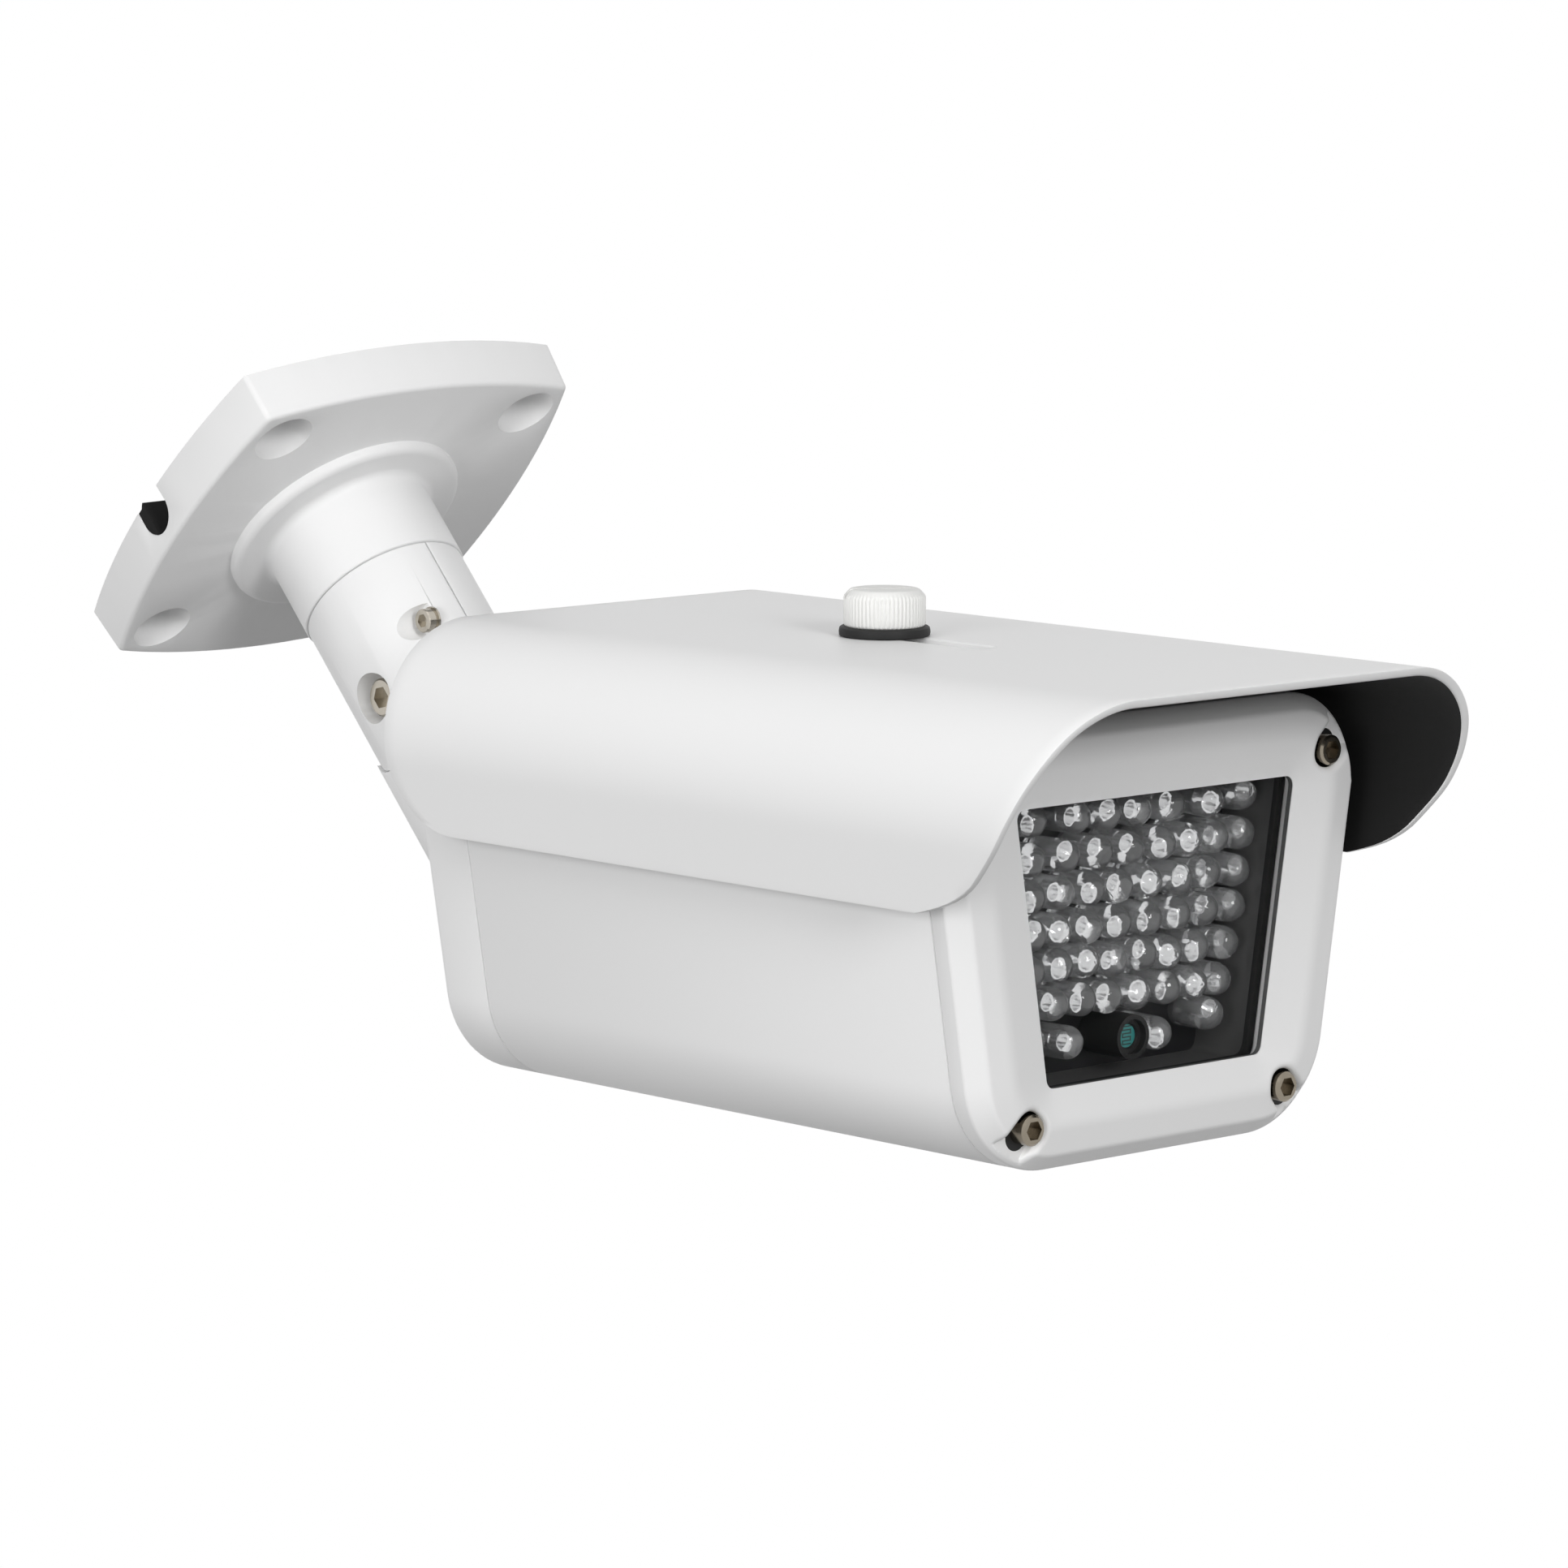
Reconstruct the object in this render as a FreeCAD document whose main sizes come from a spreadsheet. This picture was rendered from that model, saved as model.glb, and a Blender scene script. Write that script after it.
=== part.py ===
# Infrared illuminator: wall plate, split arm link, elbow knuckle, lamp head, hood and thumbscrew.
# Arm pieces are drawn about the arm axis, head pieces about the window centre, both in millimetres.
import FreeCAD
import Part
import math
import os

os.makedirs("parts", exist_ok=True)
V = FreeCAD.Vector
Turn = FreeCAD.Rotation
Place = FreeCAD.Placement

# Arm
arm_rise = 47.14
plate_corner_wall = 30.5
plate_corner_tube = 29.94
plate_bulge = 4.02
plate_thick = 8.58
plate_twist = -3.02
hole_place = 24.3
hole_radius = 2.25
hole_sink_radius = 5.0
hole_floor = 3.0
boss_radius = 20.25
boss_height = 1.87
collar_radius = 14.15
collar_length = 15.5
notch_radius = 3.7
notch_depth = 6.3
notch_shift = 0.2
foam_top = 1.8
foam_length = 10.0
bush_seat_radius = 6.6
bush_seat = 9.0
gap = 0.3
seam_gap = 0.15
running_gap = 0.05
spigot_radius = 9.0
spigot_neck = 3.2
spigot_flange_radius = 11.0
spigot_flange_thick = 2.0
cable_radius = 4.5
link_radius = 13.85
half_gap = 0.17
tilt_place = 35.4
cheek_radius = 11.7
tongue_radius = 9.7
tongue_half = 7.0
knuckle_radius = 14.4
elbow_place = 58.0
tilt_shank_radius = 2.0
tilt_shank_length = 4.5
tilt_head_radius = 3.1
tilt_head_height = 2.8
tilt_recess_radius = 4.1
tilt_recess_floor = 9.2
clamp_place = 29.6
clamp_offset = 11.9
clamp_recess_radius = 2.9
clamp_floor = 5.2
clamp_head_radius = 1.9
clamp_shank_radius = 1.0
# Head
elbow_back = 145.7
elbow_up = 3.84
body_half = 39.45
body_slope = 0.1613
body_half_height = 32.2
bottom_round = 15.7
top_round = 13.5
front_seam = 4.9
housing_length = 101.0
housing_wall = 2.5
cap_length = 10.6
cap_wall = 3.0
rail_half = 8.0
rail_front = 20.0
rail_length = 74.0
hood_clear = 4.6
hood_sheet = 1.3
hood_flat_side = 10.95
hood_round = 18.0
hood_lean = 10.0
hood_low = 7.0
hood_reach = 26.0
hood_rear = 118.0
hood_rear_lean = 1.5
hood_rear_round = 13.0
slot_front = 34.4
slot_rear = 59.6
slot_half = 2.3
thumb_place = 57.0
thumb_shank_radius = 2.0
thumb_radius = 6.15
thumb_height = 5.6
thumb_washer_radius = 6.8
thumb_washer_thick = 1.5
window_border_side = 14.265
window_slope = 0.1632
window_border_high = 11.95
glass_recess = 0.9
glass_thick = 2.5
bezel_flat_inset = 7.2
bezel_soft_inset = 2.45
bezel_soft_depth = 0.73
bezel_facet_depth = 3.3
screw_low_side = 9.306528
screw_low_edge = 6.76
screw_high_side = 8.483776
screw_high_edge = 8.68
screw_head_radius = 2.25
screw_head_face = -1.6
screw_seat = 1.2
screw_seat_radius = 3.1
screw_shank_radius = 1.25
lamp_radius = 2.5
lamp_tip = 6.0
board_face = 14.6
board_thick = 1.6
tunnel_outset = 1.3
sensor_place = 2.1
sensor_edge = 3.95
sleeve_radius = 3.3
board_screw_edge = 0.75
post_radius = 2.6
post_height = 17.7
post_side = 3.8856
boss_depth = 6.7
boss_length = 5.5
insert_radius = 3.5
insert_length = 9.0

# every size above goes into the sheet under its own name
S = {name: value for name, value in list(globals().items()) if isinstance(value, float)}
doc = FreeCAD.newDocument("illuminator")
sheet = doc.addObject("Spreadsheet::Sheet", "Sizes")
for row, (name, value) in enumerate(S.items()):
    sheet.set("A%d" % (row + 1), name)
    sheet.set("B%d" % (row + 1), repr(value))
    sheet.setAlias("B%d" % (row + 1), name)
doc.recompute()

rise = math.radians(arm_rise)
axis = V(0, math.cos(rise), math.sin(rise))
arm_turn = Turn(V(1, 0, 0), arm_rise - 90)
arm_place = Place(V(0, 0, 0), arm_turn)
plate_place = Place(V(0, 0, 0), arm_turn.multiply(Turn(V(0, 0, 1), plate_twist)))
elbow_down = plate_thick + elbow_place
head_shift = axis * (-elbow_down) - V(0, elbow_back, elbow_up)
head_place = Place(head_shift, Turn())
tube_face = -plate_thick
tilt_z = tube_face - tilt_place
clamp_z = tube_face - clamp_place
collar_end = tube_face - collar_length
seam_rear = front_seam + housing_length
window_half = body_half - window_border_side
window_half_height = body_half_height - window_border_high
hood_under = body_half_height + hood_clear
hood_flat = body_half - hood_flat_side
screw_low_z = screw_low_edge - body_half_height
screw_high_z = body_half_height - screw_high_edge
screw_low_x = body_half + body_slope * screw_low_z - screw_low_side
screw_high_x = body_half + body_slope * screw_high_z - screw_high_side
cap_rear = seam_rear + cap_length
nodes = []


def num(value):
    return S[value] if isinstance(value, str) else value


def bind(item, prop, value):
    if isinstance(value, str):
        item.setExpression(prop, "Sizes." + value)
    else:
        setattr(item, prop, value)


def keep(item, label, place):
    item.Label = label
    item.Placement = place
    nodes.append(item)
    return item


def rounded(points, radii):
    # closed outline with each corner rounded to its own radius
    count = len(points)
    pts = [V(p[0], p[1], 0) for p in points]
    ends = []
    for i in range(count):
        here = pts[i]
        before = (pts[i - 1] - here).normalize()
        after = (pts[(i + 1) % count] - here).normalize()
        radius = radii[i] if isinstance(radii, (list, tuple)) else radii
        if radius <= 0:
            ends.append((here, None, here))
            continue
        half = before.getAngle(after) / 2
        reach = radius / math.tan(half)
        middle = (before + after).normalize()
        centre = here + middle * (radius / math.sin(half))
        ends.append((here + before * reach, centre - middle * radius, here + after * reach))
    curves = []
    for i in range(count):
        start, mid, stop = ends[i]
        if mid is not None:
            curves.append(Part.Arc(start, mid, stop))
        following = ends[(i + 1) % count][0]
        if stop.distanceToPoint(following) > 1e-6:
            curves.append(Part.LineSegment(stop, following))
    return curves


def section(inset):
    # outer outline of the lamp body, moved inwards
    high = body_half_height - inset
    side = inset * math.hypot(1, body_slope)
    low_x = body_half - body_slope * high - side
    high_x = body_half + body_slope * high - side
    low_r = max(bottom_round - inset, 0.8)
    high_r = max(top_round - inset, 0.8)
    points = [(-low_x, -high), (low_x, -high), (high_x, high), (-high_x, high)]
    return rounded(points, [low_r, low_r, high_r, high_r])


def window(outset, corner=None):
    # outline of the window opening, moved outwards
    high = window_half_height + outset
    side = outset * math.hypot(1, window_slope)
    low_x = window_half - window_slope * high + side
    high_x = window_half + window_slope * high + side
    points = [(-low_x, -high), (low_x, -high), (high_x, high), (-high_x, high)]
    return rounded(points, 1.3 + outset if corner is None else corner)


def circle(x, y, radius):
    return [Part.Circle(V(x, y, 0), V(0, 0, 1), radius)]


def body(label, place):
    item = doc.addObject("PartDesign::Body", label)
    return keep(item, label, place)


def sketch(owner, name, role, curves, lift=0.0):
    item = owner.newObject("Sketcher::SketchObject", owner.Name + "_" + name)
    plane = [f for f in owner.Origin.OriginFeatures if f.Role == role][0]
    item.AttachmentSupport = (plane, [""])
    item.MapMode = "FlatFace"
    item.AttachmentOffset = Place(V(0, 0, lift), Turn())
    item.addGeometry(curves, False)
    doc.recompute()
    return item


def pad(owner, name, role, curves, start, length, reverse=False):
    item = owner.newObject("PartDesign::Pad", owner.Name + "_" + name)
    item.Profile = sketch(owner, name + "_sketch", role, curves, start)
    bind(item, "Length", length)
    item.Reversed = reverse
    doc.recompute()
    return item


def pocket(owner, name, role, curves, start, length=0.0, reverse=False, through=False):
    item = owner.newObject("PartDesign::Pocket", owner.Name + "_" + name)
    item.Profile = sketch(owner, name + "_sketch", role, curves, start)
    before = owner.Shape.Volume
    if through:
        item.Type = "ThroughAll"
        item.Midplane = True
    else:
        bind(item, "Length", length)
        item.Reversed = reverse
    doc.recompute()
    if owner.Shape.Volume > before - 1e-3:
        raise ValueError("pocket takes nothing away: " + item.Name)
    return item


def along(owner, name, curves, y0, length):
    # pad of an outline in the X-Z plane, from y0 backwards
    return pad(owner, name, "XZ_Plane", curves, -y0, length, True)


def hollow(owner, name, curves, y0, length):
    # pocket of an outline in the X-Z plane, from y0 backwards
    return pocket(owner, name, "XZ_Plane", curves, -y0, length)


def cylinder(radius, height, at, way=(0, 0, 1)):
    item = doc.addObject("Part::Cylinder", "cylinder")
    bind(item, "Radius", radius)
    bind(item, "Height", height)
    item.Placement = Place(V(*at), Turn(V(0, 0, 1), V(*way)))
    return item


def cone(low, high, height, at, way=(0, 0, 1)):
    item = doc.addObject("Part::Cone", "cone")
    item.Radius1 = num(low)
    item.Radius2 = num(high)
    item.Height = num(height)
    item.Placement = Place(V(*at), Turn(V(0, 0, 1), V(*way)))
    return item


def block(low, high, turn=None):
    item = doc.addObject("Part::Box", "block")
    item.Length = high[0] - low[0]
    item.Width = high[1] - low[1]
    item.Height = high[2] - low[2]
    item.Placement = Place(V(*low), Turn())
    return item


def prism(points, half):
    # side outline in the Y-Z plane, drawn out to both sides
    wire = doc.addObject("Part::Polygon", "outline")
    wire.Nodes = [V(-half, p[0], p[1]) for p in points]
    wire.Close = True
    item = doc.addObject("Part::Extrusion", "prism")
    item.Base = wire
    item.DirMode = "Custom"
    item.Dir = V(1, 0, 0)
    item.LengthFwd = 2 * half
    item.Solid = True
    return item


def fuse(items):
    item = doc.addObject("Part::MultiFuse", "joined")
    item.Shapes = items
    item.Refine = True
    return item


def shared(items):
    item = doc.addObject("Part::MultiCommon", "shared")
    item.Shapes = items
    return item


def cut(base, tools):
    item = doc.addObject("Part::Cut", "trimmed")
    item.Base = base
    item.Tool = tools[0] if len(tools) == 1 else fuse(tools)
    item.Refine = True
    return item


def group(label, shapes, place):
    item = doc.addObject("Part::Feature", label)
    item.Shape = Part.makeCompound(shapes)
    return keep(item, label, place)


def rod(radius, length, at, way=(0, 0, 1)):
    return Part.makeCylinder(radius, length, V(*at), V(*way))


def ring(outer, inner, length, at, way=(0, 0, 1)):
    return rod(outer, length, at, way).cut(rod(inner, length, at, way))


def socket_screw(head_r, head_h, shank_r, shank_l, key, depth):
    # seat of the head at the origin, shank down, hexagon socket from the top
    head = rod(head_r, head_h, (0, 0, 0))
    rim = [e for e in head.Edges if abs(e.BoundBox.ZMin - head_h) < 1e-6 and len(e.Vertexes) == 1]
    head = head.makeChamfer(head_h * 0.12, rim)
    shank = rod(shank_r, shank_l, (0, 0, -shank_l))
    corners = []
    for i in range(7):
        a = math.radians(60 * i)
        corners.append(V(key / 1.732 * math.cos(a), key / 1.732 * math.sin(a), head_h - depth))
    hexagon = Part.Face(Part.makePolygon(corners)).extrude(V(0, 0, depth + 1))
    return head.fuse(shank).cut(hexagon)


def set_at(shape, at, way):
    copy = shape.copy()
    copy.Placement = Place(V(*at), Turn(V(0, 0, 1), V(*way)))
    return copy


# Wall plate
def bulged(corner):
    c = corner
    b = c + plate_bulge
    spots = [(V(-c, -c, 0), V(0, -b, 0), V(c, -c, 0)), (V(c, -c, 0), V(b, 0, 0), V(c, c, 0))]
    spots += [(V(c, c, 0), V(0, b, 0), V(-c, c, 0)), (V(-c, c, 0), V(-b, 0, 0), V(-c, -c, 0))]
    return [Part.Arc(*three) for three in spots]


plate = body("wall_plate", plate_place)
wall_outline = sketch(plate, "wall_outline", "XY_Plane", bulged(plate_corner_wall), 0)
tube_outline = sketch(plate, "tube_outline", "XY_Plane", bulged(plate_corner_tube), tube_face)
loft = plate.newObject("PartDesign::AdditiveLoft", "plate_loft")
loft.Profile = wall_outline
loft.Sections = [tube_outline]
loft.Ruled = True
doc.recompute()
edges = []
for i, e in enumerate(loft.Shape.Edges):
    if e.BoundBox.ZLength > 5:
        edges.append("Edge%d" % (i + 1))
corner_round = plate.newObject("PartDesign::Fillet", "plate_corner_round")
corner_round.Base = (loft, edges)
corner_round.Radius = 1.2
doc.recompute()
edges = []
for i, e in enumerate(corner_round.Shape.Edges):
    box = e.BoundBox
    if box.ZLength < 0.01 and abs(box.ZMin - tube_face) < 0.01:
        edges.append("Edge%d" % (i + 1))
rim_round = plate.newObject("PartDesign::Fillet", "plate_rim_round")
rim_round.Base = (corner_round, edges)
rim_round.Radius = 0.8
doc.recompute()
boss_face = tube_face - boss_height
neck_end = collar_end - spigot_neck
spigot_end = neck_end - spigot_flange_thick
r_boss = boss_radius
r_col = collar_radius
profile = [(0, tube_face + 1), (r_boss, tube_face + 1), (r_boss, boss_face), (r_col, boss_face)]
profile += [(r_col, collar_end + 0.15), (r_col - 0.15, collar_end), (spigot_radius, collar_end)]
profile += [(spigot_radius, neck_end), (spigot_flange_radius, neck_end)]
profile += [(spigot_flange_radius, spigot_end), (0, spigot_end)]
corner_radii = [0, 0, 1.3, 1.5, 0, 0, 0, 0, 0, 0, 0]
turned = plate.newObject("PartDesign::Revolution", "plate_boss")
turned.Profile = sketch(plate, "boss_sketch", "XZ_Plane", rounded(profile, corner_radii))
turned.ReferenceAxis = (turned.Profile[0], ["V_Axis"])
turned.Angle = 360
doc.recompute()
bore = circle(0, 0, cable_radius + 0.5)
pocket(plate, "bore", "XY_Plane", bore, 0, through=True)
pocket(plate, "bush_seat", "XY_Plane", circle(0, 0, bush_seat_radius), 0, "bush_seat")
place = hole_place
spots = [(place, place), (-place, place), (-place, -place), (place, -place)]
holes = []
sinks = []
for x, y in spots:
    holes += circle(x, y, hole_radius)
    sinks += circle(x, y, hole_sink_radius)
pocket(plate, "holes", "XY_Plane", holes, 0, through=True)
pocket(plate, "sinks", "XY_Plane", sinks, -hole_floor, 20)
r_n = notch_radius
n_a = notch_shift - r_n
n_b = notch_shift + r_n
channel = rounded([(n_a, 1), (n_a, -notch_depth), (n_b, -notch_depth), (n_b, 1)], [0, r_n - 0.01, r_n - 0.01, 0])
pocket(plate, "channel", "YZ_Plane", channel, 0, 50, reverse=False)
recess = circle(0, 0, 21.3) + circle(0, 0, 11.7)
pocket(plate, "gasket_recess", "XY_Plane", recess, 0, 1.2)

group("wall_gasket", [ring(21.1, 11.9, 1.2, (0, 0, -1.2))], plate_place)
foam_low = r_n - notch_depth
foam_x = 0.25 - plate_corner_wall - plate_bulge
foam = rod(r_n - 0.1, foam_length, (foam_x, notch_shift, foam_low), (1, 0, 0))
foam = foam.fuse(Part.makeBox(foam_length, 2 * r_n - 0.2, -foam_low, V(foam_x, n_a + 0.1, foam_low)))
foam = foam.cut(Part.makeBox(foam_length + 2, 20, 20, V(foam_x - 1, foam_top - 20, -15)))
group("notch_foam", [foam.removeSplitter()], plate_place)
bush = ring(bush_seat_radius - 0.1, cable_radius + 0.5, 2.4, (0, 0, -bush_seat))
group("cable_bush", [bush], plate_place)

# Split link
link_top = collar_end - seam_gap
link_low = tilt_z - cheek_radius - 1
r_link = link_radius
outer = fuse([cylinder("link_radius", link_top - 0.15 - link_low, (0, 0, link_low)),
              cone("link_radius", r_link - 0.15, 0.15, (0, 0, link_top - 0.15))])
slope = math.radians(107)
far = 40.0
vee = [(0, tilt_z), (far * math.sin(slope), tilt_z - far * math.cos(slope))]
vee += [(far * math.sin(slope), link_top), (-far * math.sin(slope), link_top)]
vee += [(-far * math.sin(slope), tilt_z - far * math.cos(slope))]
inside = tongue_half + gap
side = fuse([cylinder("cheek_radius", 20 - inside, (-20, 0, tilt_z), (1, 0, 0)),
             cylinder("cheek_radius", 20 - inside, (inside, 0, tilt_z), (1, 0, 0)), prism(vee, 20)])
groove_top = neck_end + gap
groove_low = spigot_end - gap
socket = spigot_radius + running_gap
groove = spigot_flange_radius + gap
floor = tilt_recess_floor
y_c = -clamp_offset
tools = [cylinder(tongue_radius + gap, 2 * inside, (-inside, 0, tilt_z), (1, 0, 0)),
         cylinder(socket, 12, (0, 0, groove_top)),
         cylinder(groove, groove_top - groove_low, (0, 0, groove_low)),
         cylinder("cable_radius", 20, (0, 0, groove_low - 12)),
         cylinder("tilt_recess_radius", 10, (-floor - 10, 0, tilt_z), (1, 0, 0)),
         cylinder("tilt_recess_radius", 10, (floor, 0, tilt_z), (1, 0, 0)),
         cylinder(tilt_shank_radius + running_gap, 40, (-20, 0, tilt_z), (1, 0, 0)),
         cylinder("clamp_recess_radius", 20, (-clamp_floor - 20, y_c, clamp_z), (1, 0, 0)),
         cylinder(clamp_shank_radius + 0.05, clamp_floor + 4.5, (-clamp_floor - 0.3, y_c, clamp_z), (1, 0, 0)),
         cylinder(1.0, 7, (-3.5, -y_c, clamp_z), (1, 0, 0)),
         cylinder(1.0, 7, (-3.5, -y_c, clamp_z + 5), (1, 0, 0))]
whole = cut(shared([outer, side]), tools)
keep(cut(whole, [block((-half_gap, -30, -80), (30, 30, 0))]), "link_left", arm_place)
keep(cut(whole, [block((-30, -30, -80), (half_gap, 30, 0))]), "link_right", arm_place)
pins = [rod(0.95, 6.6, (-3.3, -y_c, clamp_z), (1, 0, 0)), rod(0.95, 6.6, (-3.3, -y_c, clamp_z + 5), (1, 0, 0))]
group("link_dowels", pins, arm_place)
c_f = -clamp_floor
small = socket_screw(clamp_head_radius, 1.3, clamp_shank_radius, 9.0, 2.0, 0.8)
group("clamp_screw", [set_at(small, (c_f - 0.8, y_c, clamp_z), (-1, 0, 0))], arm_place)
group("clamp_washer", [ring(2.15, 1.05, 0.35, (c_f - 0.35, y_c, clamp_z), (1, 0, 0))], arm_place)
split = ring(1.8, 1.05, 0.45, (c_f - 0.8, y_c, clamp_z), (1, 0, 0))
group("clamp_lock_washer", [split], arm_place)
tilt = socket_screw(tilt_head_radius, tilt_head_height, tilt_shank_radius, tilt_shank_length, 3.2, 1.8)
group("tilt_screws", [set_at(tilt, (-floor, 0, tilt_z), (-1, 0, 0)),
                      set_at(tilt, (floor, 0, tilt_z), (1, 0, 0))], arm_place)

# Elbow knuckle, drawn about the arm axis
elbow_z = -elbow_down
back = V(0, -math.sin(rise), -math.cos(rise))
bend = (V(0, 0, -1) + back).normalize()
flange_y = cap_rear + 0.8
boss_run = elbow_back - flange_y
r_k = knuckle_radius
centre = V(0, 0, elbow_z)
upper = cylinder("knuckle_radius", 40, (0, 0, elbow_z - 12))
lower = cylinder("knuckle_radius", boss_run + 12, tuple(centre - back * 12), tuple(back))
beyond = block((0, 0, 0), (80, 80, 40))
beyond.Placement = Place(centre, Turn(V(0, 0, 1), bend)).multiply(Place(V(-40, -40, 0), Turn()))
before = block((0, 0, 0), (80, 80, 40))
before.Placement = Place(centre, Turn(V(0, 0, 1), bend)).multiply(Place(V(-40, -40, -40), Turn()))
fan = math.radians(60)
wedge = [(0, tilt_z), (50 * math.sin(fan), tilt_z - 50 * math.cos(fan)), (0, tilt_z - 90)]
wedge += [(-50 * math.sin(fan), tilt_z - 50 * math.cos(fan))]
upper = shared([cut(upper, [beyond]), prism(wedge, 20)])
t_h = tongue_half
clear = cheek_radius + gap
upper = cut(upper, [cylinder(clear, 20, (t_h, 0, tilt_z), (1, 0, 0)),
                    cylinder(clear, 20, (-t_h - 20, 0, tilt_z), (1, 0, 0))])
tongue = cylinder("tongue_radius", 2 * t_h, (-t_h, 0, tilt_z), (1, 0, 0))
solid = fuse([upper, tongue, cut(lower, [before])])
tap = tilt_shank_radius + running_gap
knuckle_tools = [cylinder("cable_radius", 60, (0, 0, elbow_z)),
                 cylinder(6.0, 9, (0, 0, elbow_z)),
                 cylinder(6.0, boss_run + 1, (0, 0, elbow_z), tuple(back)),
                 cylinder(tap, 40, (-20, 0, tilt_z), (1, 0, 0)),
                 ]
ball = doc.addObject("Part::Sphere", "elbow_hollow")
ball.Radius = 6.0
ball.Placement = Place(centre, Turn())
knuckle_tools.append(ball)
for k in range(3):
    a = math.radians(90 + 120 * k)
    spot = V(10 * math.cos(a), 0, 10 * math.sin(a)) + V(0, flange_y + 7, elbow_up) + head_shift
    spot = arm_turn.inverted().multVec(spot)
    knuckle_tools.append(cylinder(1.55, 8, tuple(spot), tuple(back)))
keep(cut(solid, knuckle_tools), "knuckle", arm_place)
seal = ring(13.9, 6.5, 0.8, (0, cap_rear, elbow_up), (0, 1, 0))
fixings = []
fixing = socket_screw(2.75, 3.0, 1.5, 9.0, 2.5, 1.5)
for k in range(3):
    a = math.radians(90 + 120 * k)
    x = 10 * math.cos(a)
    z = 10 * math.sin(a) + elbow_up
    seal = seal.cut(rod(1.6, 3, (x, cap_rear - 1, z), (0, 1, 0)))
    fixings.append(set_at(fixing, (x, cap_rear - cap_wall, z), (0, -1, 0)))
group("knuckle_seal", [seal], head_place)
group("knuckle_screws", fixings, head_place)

# Housing: drawn tube with screw ports and the hood rail
corner_spots = [(-screw_low_x, screw_low_z), (screw_low_x, screw_low_z),
                (screw_high_x, screw_high_z), (-screw_high_x, screw_high_z)]
housing = body("housing", head_place)
along(housing, "tube", section(0) + section(housing_wall), front_seam, "housing_length")
for k, (x, z) in enumerate(corner_spots):
    along(housing, "port%d" % k, circle(x, z, 3.4), front_seam, "housing_length")
rail_low = body_half_height - 1.0
rail = rounded([(-rail_half, rail_low), (rail_half, rail_low), (rail_half, hood_under),
                (-rail_half, hood_under)], 0)
along(housing, "rail", rail, rail_front, "rail_length")
bores = []
for x, z in corner_spots:
    bores += circle(x, z, screw_shank_radius + 0.05)
hollow(housing, "front_threads", bores, front_seam, 12)
pocket(housing, "rear_threads", "XZ_Plane", bores, -seam_rear, 12, reverse=True)
boss = pad(housing, "insert_boss", "XY_Plane", circle(0, thumb_place, 5.5), body_half_height - boss_depth, "boss_length")
insert_hole = circle(0, thumb_place, insert_radius + 0.02)
pocket(housing, "insert_hole", "XY_Plane", insert_hole, hood_under, insert_length + gap)

# Bezel: three outlines joined by facets, then straight to the seam
bezel = body("bezel", head_place)
marks = [(0, bezel_flat_inset), (bezel_soft_depth, bezel_soft_inset),
         (bezel_facet_depth, 0.0)]
outlines = []
for k, (y, inset) in enumerate(marks):
    outlines.append(sketch(bezel, "outline%d" % k, "XZ_Plane", section(inset), -y))
faceted = bezel.newObject("PartDesign::AdditiveLoft", "bezel_facets")
faceted.Profile = outlines[0]
faceted.Sections = outlines[1:]
faceted.Ruled = True
doc.recompute()
straight = front_seam - bezel_facet_depth
along(bezel, "skirt", section(0), bezel_facet_depth, straight)
lip = housing_wall + gap
along(bezel, "spigot", section(lip) + section(lip + 1.6), front_seam - 0.5, 5.5)
port_space = []
for x, z in corner_spots:
    port_space += circle(x, z, 3.7)
hollow(bezel, "port_space", port_space, front_seam, 6)
hollow(bezel, "window", window(0), -1, 8)
hollow(bezel, "glass_bed", window(2.0), glass_recess, 8)
groove_y = front_seam - 1.2
hollow(bezel, "seal_groove", section(0.8) + section(2.2), groove_y, 1.2)
for k, (x, z) in enumerate(corner_spots):
    hollow(bezel, "seat%d" % k, circle(x, z, screw_seat_radius), screw_seat - 5, 5)
    hollow(bezel, "bore%d" % k, circle(x, z, 1.4), screw_seat - 1, 20)

# Rear cap
cap = body("rear_cap", head_place)
cap_block = along(cap, "block", section(0), seam_rear, "cap_length")
edges = []
for i, e in enumerate(cap_block.Shape.Edges):
    box = e.BoundBox
    if box.YLength < 0.01 and abs(box.YMin - cap_rear) < 0.01:
        edges.append("Edge%d" % (i + 1))
cap_round = cap.newObject("PartDesign::Fillet", "cap_round")
cap_round.Base = (cap_block, edges)
cap_round.Radius = 1.6
doc.recompute()
hollow(cap, "hollow", section(2.9), seam_rear, cap_length - cap_wall)
for k, (x, z) in enumerate(corner_spots):
    along(cap, "port%d" % k, circle(x, z, 3.4), seam_rear, cap_length - 1.0)
hollow(cap, "seal_groove", section(0.8) + section(2.2), seam_rear, 1.2)
through = []
sinks = []
for x, z in corner_spots:
    through += circle(x, z, 1.4)
    sinks += circle(x, z, 2.6)
hollow(cap, "bores", through, seam_rear - 1, 20)
hollow(cap, "sinks", sinks, cap_rear - 2.6, 10)
centre_holes = circle(0, elbow_up, 6.0)
for k in range(3):
    a = math.radians(90 + 120 * k)
    centre_holes += circle(10 * math.cos(a), 10 * math.sin(a) + elbow_up, 1.6)
hollow(cap, "centre", centre_holes, seam_rear, 20)

# Seals at both seams
ring_outline = section(1.0) + section(2.0)
along(body("front_seal", head_place), "ring", ring_outline, front_seam - 1.1, 1.1)
along(body("rear_seal", head_place), "ring", ring_outline, seam_rear, 1.1)

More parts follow.
